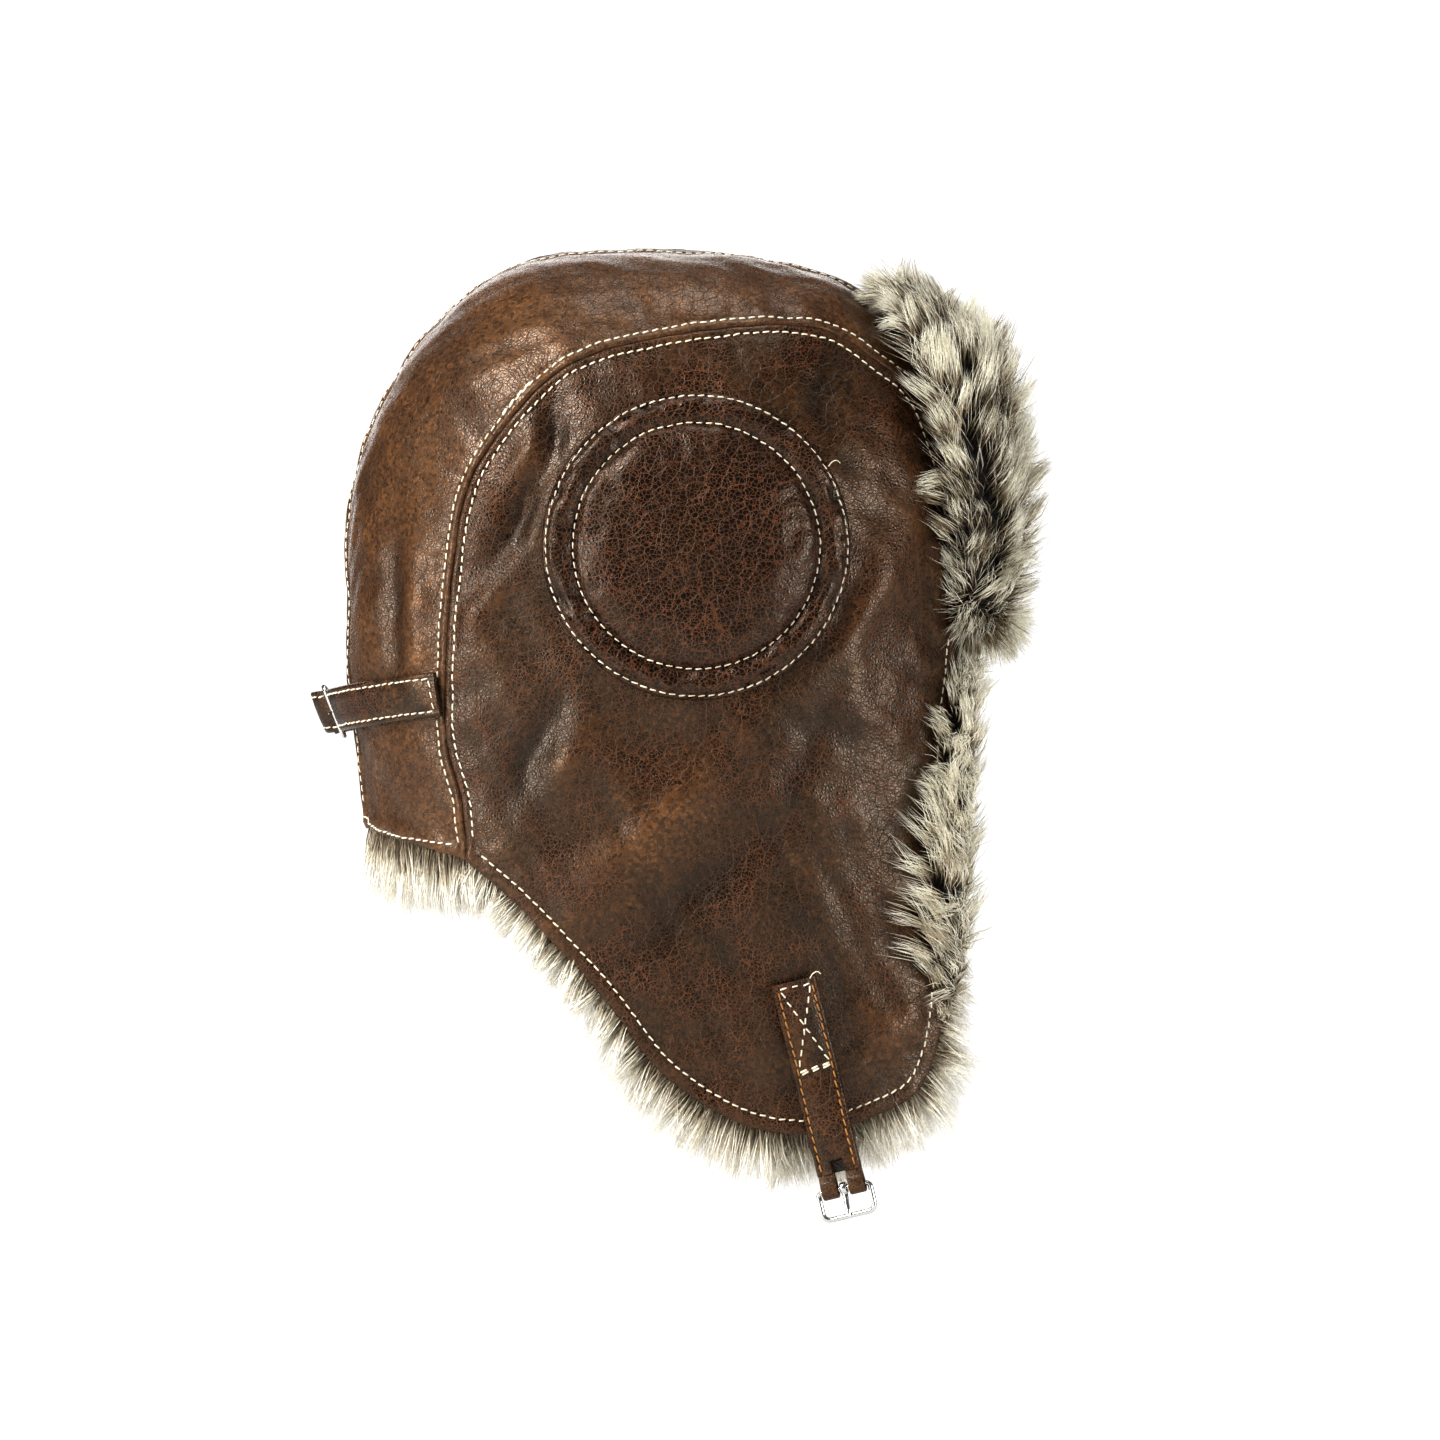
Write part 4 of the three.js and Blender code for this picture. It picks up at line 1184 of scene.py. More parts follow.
@dataclass(frozen=True)
class LeatherFinish:
    """Worn, crackled imitation leather.

    Dark brown is mixed with mid brown in large blotches, and both turn paler where the surface stands
    proud and is rubbed. Hollows, stitch grooves and seams are darkened towards the coat colour as painted
    shade. In other blotches an almost black coat lies over it, and fine cracks in that coat show warm
    brown.
    """

    name: str
    dark: Colour
    middle: Colour
    rubbed: Colour
    coat: Colour
    under: Colour
    black: Colour = shades((24, 21, 20))[0]
    cell: float = 0.0013
    crack: float = 0.09
    wide_cells: float = 3.1
    wide_crack: float = 0.035
    blotch: float = 0.024
    cloud: float = 0.06
    least: float = 0.1
    most: float = 0.8
    roughness: float = 0.27
    relief: float = 0.00009
    shine: float = 0.62
    tint: Colour = (1.0, 0.84, 0.69, 1.0)

    def material(self, effects: Effects) -> bpy.types.Material:
        """Builds the material.

        Args:
            effects: The shared node groups.

        Returns:
            The material.
        """
        material, sheet = fresh_material(self.name)
        place = sheet.place()
        wear = sheet.attribute("wear")
        crackle = effects.crackled(sheet, place, self.cell, self.crack)
        coarse = effects.crackled(sheet, place, self.wide_cells * self.cell, self.wide_crack)
        area = effects.blotched(sheet, place, self.blotch, 0.1)
        cloud = effects.blotched(sheet, place, self.cloud, 0.2)
        grain = sheet.noise(place, 0.0004, 3.0, 0.6)
        speckle = sheet.noise(place, 0.0014, 4.0, 0.75)
        raised = sheet.scaled(wear, -0.05, 0.9, 0.0, 0.8)
        # Mask of painted shade: where the surface lies in a hollow or groove.
        sunk = sheet.scaled(wear, -0.05, -0.9)
        uneven = sheet.times(sheet.maths("SUBTRACT", speckle, 0.5), 2.2)
        rub = sheet.plus(sheet.plus(raised, sheet.times(cloud, 0.3)), uneven, True)
        colour = sheet.blend(cloud, self.dark, self.middle)
        colour = sheet.blend(sheet.times(rub, 0.75), colour, self.rubbed)
        tone = sheet.scaled(crackle["Tone"], 0.0, 1.0, 0.45, 1.45)
        colour = sheet.blend(1.0, colour, tone, "MULTIPLY")
        covered = sheet.scaled(area, 0.0, 1.0, self.least, self.most)
        wide = sheet.times(coarse["Cracks"], 0.8)
        lines = sheet.maths("MAXIMUM", crackle["Cracks"], wide)
        crack = sheet.blend(covered, self.coat, self.under)
        colour = sheet.blend(covered, colour, self.coat)
        colour = sheet.blend(sheet.times(lines, sheet.scaled(covered, 0.0, 1.0, 0.6, 0.85)), colour, crack)
        # Painted shade: hollows, stitch grooves and seams darkened towards the coat colour.
        colour = sheet.blend(sheet.times(sunk, 0.6), colour, self.coat)
        colour = sheet.blend(sheet.attribute("black"), colour, self.black)
        rough = sheet.plus(sheet.times(grain, 0.2), self.roughness - 0.1)
        rough = sheet.plus(rough, sheet.times(lines, 0.3), True)
        height = sheet.times(crackle["Dome"], sheet.scaled(covered, 0.0, 1.0, 0.6, 1.0))
        height = sheet.maths("SUBTRACT", sheet.plus(height, sheet.times(grain, 0.3)), wide)
        sheet.finish(
            {
                "Base Color": colour,
                "Roughness": rough,
                "Normal": sheet.bump(height, 1.0, self.relief),
                "Specular IOR Level": self.shine,
                "Specular Tint": self.tint,
            }
        )
        return material


@dataclass(frozen=True)
class FurFinish:
    """Pile with dark roots, a paler middle and grey-brown tips, some of it in cream streaks.

    The dark at the roots is partly the fur's own colour and partly painted shade deep in the pile. The UV's
    first number is the place along the hair and its second the hair's tone.
    """

    name: str
    root: Colour
    brown: Colour
    pale: Colour
    cream: Colour
    tip: Colour
    streaks: float = 0.5
    streak_size: float = 0.03

    def material(self, effects: Effects) -> bpy.types.Material:
        """Builds the material.

        Args:
            effects: The shared node groups.

        Returns:
            The material.
        """
        material, sheet = fresh_material(self.name)
        coordinates = sheet.add("ShaderNodeTexCoord").outputs
        uv = sheet.add("ShaderNodeSeparateXYZ", {0: coordinates["UV"]}).outputs
        place = coordinates["Object"]
        # Root stops: the fur's own dark roots, and painted shade deep in the pile.
        stops = [(0.3, self.root), (0.5, self.brown), (0.68, self.pale), (0.86, self.tip), (1.0, self.tip)]
        dull = sheet.ramp(uv[0], stops)
        stops = [(0.24, self.root), (0.44, self.pale), (0.6, self.cream), (0.9, self.cream), (1.0, self.pale)]
        bright = sheet.ramp(uv[0], stops)
        area = effects.blotched(sheet, place, self.streak_size, 0.16)
        level = sheet.plus(uv[1], sheet.times(area, 0.5))
        bound = 1.25 - self.streaks
        share = sheet.scaled(level, bound - 0.11, bound + 0.11)
        colour = sheet.blend(share, dull, bright)
        speckle = sheet.scaled(sheet.noise(place, 0.0011, 3.0, 0.7), 0.3, 0.7, 0.72, 1.22)
        colour = sheet.blend(1.0, colour, speckle, "MULTIPLY")
        sheet.finish(
            {
                "Base Color": colour,
                "Normal": sheet.bump(sheet.noise(place, 0.0009, 3.0, 0.7), 0.5, 0.0004),
                "Roughness": 0.62,
                "Sheen Weight": 0.12,
                "Sheen Roughness": 0.4,
            }
        )
        return material


@dataclass(frozen=True)
class ThreadFinish:
    """Waxed sewing thread, dusty and a little uneven in colour."""

    name: str
    colour: Colour
    soiled: Colour

    def material(self, effects: Effects) -> bpy.types.Material:
        """Builds the material.

        Args:
            effects: The shared node groups.

        Returns:
            The material.
        """
        material, sheet = fresh_material(self.name)
        place = sheet.place()
        soil = effects.blotched(sheet, place, 0.006, 0.2)
        fleck = sheet.scaled(sheet.noise(place, 0.0003, 2.0, 0.6), 0.3, 0.7, 0.8, 1.15)
        colour = sheet.blend(sheet.times(soil, 0.45), self.colour, self.soiled)
        colour = sheet.blend(1.0, colour, fleck, "MULTIPLY")
        twist = sheet.bump(sheet.noise(place, 0.00022, 2.0, 0.6), 0.6, 0.00012)
        sheet.finish({"Base Color": colour, "Normal": twist, "Roughness": 0.7})
        return material


@dataclass(frozen=True)
class SteelFinish:
    """Bright plated wire with faint rubbing marks."""

    name: str = "plated_wire"
    colour: Colour = (0.8, 0.79, 0.77, 1.0)

    def material(self, effects: Effects) -> bpy.types.Material:
        """Builds the material.

        Args:
            effects: The shared node groups.

        Returns:
            The material.
        """
        material, sheet = fresh_material(self.name)
        place = sheet.place()
        smear = effects.blotched(sheet, place, 0.004, 0.3)
        rough = sheet.scaled(smear, 0.0, 1.0, 0.1, 0.26)
        worn = sheet.scaled(smear, 0.0, 1.0, 0.92, 1.05)
        colour = sheet.blend(1.0, self.colour, worn, "MULTIPLY")
        dents = sheet.bump(sheet.noise(place, 0.0007, 2.0, 0.5), 0.15, 0.0001)
        sheet.finish({"Base Color": colour, "Roughness": rough, "Normal": dents, "Metallic": 1.0})
        return material


@dataclass(frozen=True)
class Finishes:
    """All materials of the hat."""

    crown: bpy.types.Material
    shell: bpy.types.Material
    patch: bpy.types.Material
    lining: bpy.types.Material
    front: bpy.types.Material
    visor: bpy.types.Material
    cream_thread: bpy.types.Material
    tan_thread: bpy.types.Material
    steel: bpy.types.Material

    @staticmethod
    def made() -> Finishes:
        """Builds every material.

        Returns:
            The materials, in the order of the fields above.
        """
        effects = Effects(crackle_effect(), blotch_effect())
        # Paler than the side panels' leather: painted light, for the stronger light that falls on the crown.
        crown = LeatherFinish(
            "lit_tan_crackled_leather",
            *shades((76, 49, 27), (106, 73, 44), (138, 96, 58), (38, 23, 13), (112, 70, 40)),
            least=0.05,
            most=0.5,
        )
        shell = LeatherFinish(
            "crackled_leather",
            *shades((34, 22, 12), (68, 46, 26), (124, 84, 49), (10, 6, 4), (136, 82, 43)),
            least=0.08,
            most=0.9,
        )
        patch = LeatherFinish(
            "dark_crackled_leather",
            *shades((28, 18, 11), (50, 33, 20), (90, 60, 36), (5, 3, 2), (122, 73, 41)),
            cell=0.0016,
            least=0.68,
            most=1.0,
            roughness=0.29,
        )
        lining = FurFinish(
            "cream_pile",
            *shades((146, 131, 108), (202, 188, 163), (244, 237, 218), (255, 252, 243), (216, 205, 184)),
            streaks=0.78,
        )
        # Its near-black roots are partly painted shade along the flap's front edge.
        front = FurFinish(
            "dark_rooted_shaded_pile",
            *shades((66, 54, 40), (140, 123, 98), (226, 215, 189), (255, 251, 236), (184, 168, 142)),
            streaks=0.74,
        )
        visor = FurFinish(
            "grey_brown_pile",
            *shades((18, 12, 8), (68, 53, 36), (172, 152, 119), (255, 251, 234), (122, 103, 77)),
            streaks=0.7,
            streak_size=0.02,
        )
        cream = ThreadFinish("cream_thread", *shades((255, 247, 226), (216, 198, 160)))
        tan = ThreadFinish("tan_thread", *shades((196, 142, 76), (140, 92, 48)))
        kinds = (crown, shell, patch, lining, front, visor, cream, tan, SteelFinish())
        return Finishes(*(kind.material(effects) for kind in kinds))


# Sewing thread.


@dataclass(frozen=True)
class StitchRow:
    """Topstitches in a row: each is a short thread whose ends dip into the leather."""

    pitch: float = 3.5
    length: float = 2.75
    radius: float = 0.32
    slant: float = 6.0
    sides: int = 5

    def sewn(self, line: Array, normals: Array, seed: int = 0) -> Surface:
        """Stitches along a line.

        Args:
            line: Points of the line on the leather's face.
            normals: The face's outward directions there.
            seed: Choice of the unevenness.

        Returns:
            The stitches as closed meshes.
        """
        rng = np.random.default_rng(seed + 77)
        lengths = arc_lengths(line)
        count = max(1, int(lengths[-1] / self.pitch))
        at = (np.arange(count) + 0.5) * lengths[-1] / count
        middle = read_along(lengths, line, at)
        along = unit(read_along(lengths, tangents(line), at))
        out = read_along(lengths, normals, at)
        out = unit(out - (out * along).sum(axis=1, keepdims=True) * along)
        across = np.cross(out, along)
        turn = np.radians(self.slant + rng.normal(0, 3, count))[:, None]
        slanted = along * np.cos(turn) + across * np.sin(turn)
        across = across * np.cos(turn) - along * np.sin(turn)
        middle = middle + across * rng.normal(0, 0.07, (count, 1))
        size = self.length * rng.uniform(0.93, 1.05, count)
        shares = np.array([-0.5, -0.34, 0.34, 0.5])
        rises = np.array([-0.28, 0.16, 0.16, -0.28])
        widths = self.radius * np.array([0.55, 1.0, 1.0, 0.55])
        path = middle[:, None] + slanted[:, None] * (shares[None] * size[:, None])[..., None]
        path = path + out[:, None] * rises[None, :, None]
        ring = widths[:, None, None] * circle(1.0, self.sides)
        points = path[:, :, None] + ring[None, ..., :1] * across[:, None, None]
        points = points + ring[None, ..., 1:] * out[:, None, None]
        number = np.arange(4 * self.sides).reshape(4, self.sides)
        start = (np.arange(count) * number.size)[:, None, None]
        sides = (grid_faces(number, wrap=True)[None] + start).reshape(-1, 4)
        caps = (np.stack([number[0, ::-1], number[-1]])[None] + start).reshape(-1, self.sides)
        return Surface(points.reshape(-1, 3), [sides, caps])


STITCHES = StitchRow()
HEAVY_STITCHES = StitchRow(radius=0.42, length=3.1)


def offset_line(line: Array, distance: float) -> Array:
    """A line of the side view moved sideways: up from the seam, and off the panel from the hem."""
    direction = tangents(line)
    return line + distance * np.stack([direction[:, 1], -direction[:, 0]], axis=1)


def lifted(base: Array) -> tuple[Array, Array]:
    """Moves points of the hat's form onto the leather's face.

    Args:
        base: Points of the form.

    Returns:
        The points on the leather, and the outward directions.
    """
    normal = FORM.normal(base)
    height, _ = SKIN.height(base)
    return base + normal * height[:, None], normal


def on_leather(flat: Array, side: Side) -> tuple[Array, Array]:
    """Places of the side view moved onto the leather's face, with its outward directions."""
    return lifted(FORM.base(flat, side))


# Leather panels.


@dataclass(frozen=True)
class CrownPanels:
    """The two crown panels, from the middle seam to the side seams."""

    rows: int = 208
    columns: int = 52
    stride: int = 4
    thick: float = 1.6
    squareness: float = 2.4

    def grid(self) -> Array:
        """Places of the side view between the middle line and the seam.

        The share of the way across is v^2.4, because the crown's height falls away from its middle line
        like that power of the distance. v itself is eased so that rows are close together at both edges.

        Returns:
            Rows by columns by 2.
        """
        middle = PATTERN.middle(self.rows + 1)
        seam = spaced(PATTERN.seam, self.rows + 1)
        v = np.linspace(0, 1, self.columns + 1)
        v = v - 0.6 * np.sin(2 * np.pi * v) / (2 * np.pi)
        share = v[None] ** self.squareness
        width = np.linalg.norm(seam - middle, axis=1, keepdims=True)
        share = (share * (1 - FORM.seam_gap / width))[..., None]
        return middle[:, None] + (seam - middle)[:, None] * share

    def panel(self, side: Side) -> Surface:
        """The panel on one side as a closed wall of leather."""
        outer, inner, wear = leather_faces(self.grid(), side, self.thick)
        return shaded_worn_wall(*wall(outer, inner, self.stride), wear.ravel())

    def build(self, finishes: Finishes) -> None:
        """Makes both panels.

        Args:
            finishes: The hat's materials.
        """
        for side in Side:
            name = f"crown_panel_{side.name.lower()}"
            add_piece(f"{name}_leather", self.panel(side), finishes.crown, Slot.LEATHER, name)


def leather_faces(flat: Array, side: Side, thick: float) -> tuple[Array, Array, Array]:
    """Outer and inner faces of a leather panel.

    Args:
        flat: Grid of places in the side view.
        side: The side of the hat.
        thick: The leather's thickness.

    Returns:
        The outer points, the inner points and the rubbing with its painted shade, each on the same grid.
    """
    base = FORM.base(flat.reshape(-1, 2), side)
    normal = FORM.normal(base)
    height, wear = SKIN.height(base)
    folds = FORM.folds(base[:, 0], base[:, 2])
    shape = (*flat.shape[:2], 3)
    outer = (base + normal * height[:, None]).reshape(shape)
    inner = (base + normal * np.minimum(folds - thick, height - 0.5 * thick)[:, None]).reshape(shape)
    return outer, inner, wear.reshape(shape[:2])


@dataclass(frozen=True)
class SidePanels:
    """The two side panels, each cut in one with its ear flap."""

    x: float = 18.0
    z: float = -20.0
    rings: int = 52
    seam_steps: int = 180
    hem_steps: int = 220
    stride: int = 4
    thick: float = 1.6

    def outline(self) -> Array:
        """The panel's edge: the seam from brow to nape, then the hem back to the brow.

        Returns:
            Places of the side view, one row each.
        """
        seam = spaced(PATTERN.seam, self.seam_steps + 1)[:-1]
        hem = spaced(PATTERN.hem, self.hem_steps + 1)[:-1]
        return np.concatenate([seam, hem])

    def grid(self, gap: float, rings: int | None = None) -> Array:
        """Places of the side view on rings about the panel's middle, closer together towards the edge.

        Args:
            gap: How far the outermost ring stays inside the outline.
            rings: How many rings, if not the panel's own number.

        Returns:
            Rings by sectors by 2.
        """
        outline = self.outline()
        middle = np.array([self.x, self.z])
        away = np.linalg.norm(outline - middle, axis=1, keepdims=True)
        edge = middle + (outline - middle) * (1 - gap / away)
        share = 1 - np.linspace(1, 0, (rings or self.rings) + 1) ** 1.5
        return middle + (edge - middle)[None] * share[:, None, None]

    def panel(self, side: Side) -> Surface:
        """The panel on one side as a closed wall of leather."""
        outer, inner, wear = leather_faces(self.grid(FORM.seam_gap), side, self.thick)
        return shaded_worn_wall(*round_wall(outer, inner, self.stride), ring_values(wear))

    def build(self, finishes: Finishes) -> None:
        """Makes both panels.

        Args:
            finishes: The hat's materials.
        """
        for side in Side:
            name = f"side_panel_{side.name.lower()}"
            add_piece(f"{name}_leather", self.panel(side), finishes.shell, Slot.LEATHER, name)


# Ear patches.


@dataclass(frozen=True)
class Swelling:
    """A cloth simulation that blows a stitched pad up from inside, with its stitches held down."""

    pressure: float = 4.0
    fullness: float = 0.05
    frames: int = 20
    cap: float = 1.5
    below: float = -1.5
    stride: int = 4

    def blown(self, radius: Array, turn: Array, height: Array, held: Array) -> Array:
        """Heights of a round pad after the simulation.

        Args:
            radius: Distances from the middle, rings by sectors.
            turn: Directions from the middle on the same grid.
            height: Heights before it, on the same grid.
            held: Where the pad is held down, on the same grid.

        Returns:
            The heights after it, none of them more than the cap from those before.
        """
        flat = polar(radius, turn)
        points = np.concatenate([flat, height[..., None]], axis=-1)
        under = np.concatenate([flat, np.full_like(points[..., :1], self.below)], axis=-1)
        vertices, faces = round_wall(points, under, self.stride)
        mesh = bpy.data.meshes.new("pad_to_blow_up")
        mesh.from_pydata((vertices * MM).tolist(), [], [row for rows in faces for row in rows.tolist()])
        pad = bpy.data.objects.new("pad_to_blow_up", mesh)
        bpy.context.scene.collection.objects.link(pad)
        group = pad.vertex_groups.new(name="held")
        shown = 1 + radius[1:].size
        fixed = np.flatnonzero(ring_values(held)).tolist()
        group.add(fixed + list(range(shown, len(vertices))), 1.0, "REPLACE")
        cloth = pad.modifiers.new("swelling", "CLOTH")
        settings = cloth.settings
        settings.quality = 6
        settings.mass = 0.25
        settings.tension_stiffness = settings.compression_stiffness = 18.0
        settings.bending_stiffness = 0.8
        settings.use_pressure = True
        settings.uniform_pressure_force = self.pressure
        settings.shrink_min = -self.fullness
        settings.vertex_group_mass = group.name
        settings.effector_weights.gravity = 0.0
        cloth.collision_settings.use_collision = False
        cloth.point_cache.frame_start, cloth.point_cache.frame_end = 1, self.frames
        for number in range(1, self.frames + 1):
            bpy.context.scene.frame_set(number)
        blown = pad.evaluated_get(bpy.context.evaluated_depsgraph_get()).to_mesh()
        places = np.empty(3 * len(blown.vertices))
        blown.vertices.foreach_get("co", places)
        pad.to_mesh_clear()
        bpy.data.objects.remove(pad)
        bpy.data.meshes.remove(mesh)
        bpy.context.scene.frame_set(1)
        rise = places.reshape(-1, 3)[:shown, 2] / MM
        sectors = radius.shape[1]
        rise = np.concatenate([np.full((1, sectors), rise[0]), rise[1:].reshape(-1, sectors)])
        moved = rise - height
        log.info("padding moved by %.1f to %.1f mm", float(moved.min()), float(moved.max()))
        return height + np.clip(moved, -self.cap, self.cap)


@dataclass(frozen=True)
class EarPatches:
    """The round padded patches: a domed disc inside a padded ring, each held by a ring of stitches."""

    lift: float = 0.9
    sink: float = 0.75
    outer_stitch: float = 53.0
    inner_stitch: float = 43.4
    deep_at: float = 165.0
    rings: int = 48
    sectors: int = 160
    stride: int = 4

    def profile(self, radius: Array) -> Array:
        """Height of the padding over the leather at a distance from the middle.

        Args:
            radius: Distances from the patch's middle.

        Returns:
            The height at each distance.
        """
        places = np.array([0, 24, 35, 39.5, 42, 43.4, 45, 48.4, 51.4, 53.0, 53.8, PATCH_RADIUS])
        heights = np.array([5.6, 5.3, 4.5, 3.5, 2.1, 0.8, 2.3, 3.8, 2.5, 0.8, 0.9, 0.0])
        return self.lift + cubic(places, heights, radius)

    def creases(self, radius: Array, turn: Array) -> Array:
        """Radial wrinkles by both rings of stitches, and a few deeper ones in the ring at the back.

        Args:
            radius: Distances from the patch's middle.
            turn: Directions from it.

        Returns:
            The creases' height at each place.
        """
        inner = np.sin(23 * turn + 1.5 * np.sin(5 * turn)) * bell(radius, self.inner_stitch, 3.2)
        outer = np.sin(31 * turn + 1.8 * np.sin(4 * turn + 1)) * bell(radius, self.outer_stitch - 2, 2.6)
        behind = 0.5 + 0.5 * np.cos(turn - np.radians(self.deep_at))
        deep = -np.maximum(0, np.sin(15 * turn + 1.2 * np.sin(3 * turn))) ** 3 * bell(radius, 48.4, 4.2)
        return 0.3 * inner + 0.28 * outer + 0.95 * behind**2 * deep

    def form_under(self, radius: Array, turn: Array, side: Side) -> tuple[Array, Array, Array]:
        """The hat's form under the patch, and the patch's creases.

        Args:
            radius: Distances from the middle, in the side view.
            turn: Directions from the middle.
            side: The side of the hat.

        Returns:
            The form's points, its outward directions and the heights over the even padding.
        """
        base = FORM.base([PATCH_X, PATCH_Z] + polar(radius, turn), side)
        uneven = 0.35 * ripple(base, 30, 31) + 0.16 * ripple(base, 11, 32)
        inside = 1 - smoothstep(radius, PATCH_RADIUS - 3, PATCH_RADIUS)
        return base, FORM.normal(base), self.creases(radius, turn) + uneven * inside

    def grid(self) -> tuple[Array, Array]:
        """Distances from the middle and directions, rings by sectors.

        Returns:
            The distances and the directions.
        """
        share = np.linspace(0, 1, self.rings + 1) ** 0.72
        radius, angle = np.meshgrid(PATCH_RADIUS * share, turns(self.sectors), indexing="ij")
        return radius, angle

    def padding(self) -> Array:
        """Returns:
            The height at each place of the grid.
        """
        radius, angle = self.grid()
        height = self.profile(radius)
        held = (np.abs(radius - self.inner_stitch) < 0.6) | (radius > self.outer_stitch - 0.5)
        swell = Swelling().blown(radius, angle, height, held) - height
        even = swell.mean(axis=1, keepdims=True)
        share = np.where(radius < self.inner_stitch, 0.6, 1.3)
        return height + share * (swell - even) + 0.25 * even

    def patch(self, side: Side, padding: Array) -> Surface:
        """The patch on one side as a closed pad.

        Args:
            side: The side of the hat.
            padding: Heights of the padding on the grid.

        Returns:
            The pad with its rubbing and painted shade.
        """
        radius, angle = self.grid()
        base, normal, relief = self.form_under(radius.ravel(), angle.ravel(), side)
        base, normal = base.reshape(*radius.shape, 3), normal.reshape(*radius.shape, 3)
        relief = relief.reshape(radius.shape)
        outer = base + normal * (padding + relief)[..., None]
        under = base + normal * (self.lift - self.sink)
        stitch = bell(radius, self.inner_stitch, 1.2) + bell(radius, self.outer_stitch, 1.2)
        swell = padding - padding.mean(axis=1, keepdims=True)
        # Paler where it swells and is rubbed; painted shade in the creases and stitch grooves.
        wear = np.clip(0.5 * (relief + swell) - 0.5 * stitch + 0.1, -1, 1)
        return shaded_worn_wall(*round_wall(outer, under, self.stride), ring_values(wear))

    def stitching(self, side: Side) -> list[Surface]:
        """Both rings of stitches.

        Args:
            side: The side of the hat.

        Returns:
            The two rings.
        """
        turn = np.linspace(0, 2 * np.pi, 240)
        rings = []
        for number, radius in enumerate((self.inner_stitch, self.outer_stitch)):
            away = np.full_like(turn, radius)
            base, normal, relief = self.form_under(away, turn, side)
            points = base + normal * (self.profile(away) + relief)[:, None]
            rings.append(STITCHES.sewn(points, normal, number))
        return rings

    def build(self, finishes: Finishes) -> None:
        """Args:
            finishes: The hat's materials.
        """
        padding = self.padding()
        for side in Side:
            name = f"ear_patch_{side.name.lower()}"
            pad = self.patch(side, padding)
            made = add_piece(f"{name}_pad", pad, finishes.patch, Slot.PATCH, name)


# Lining.


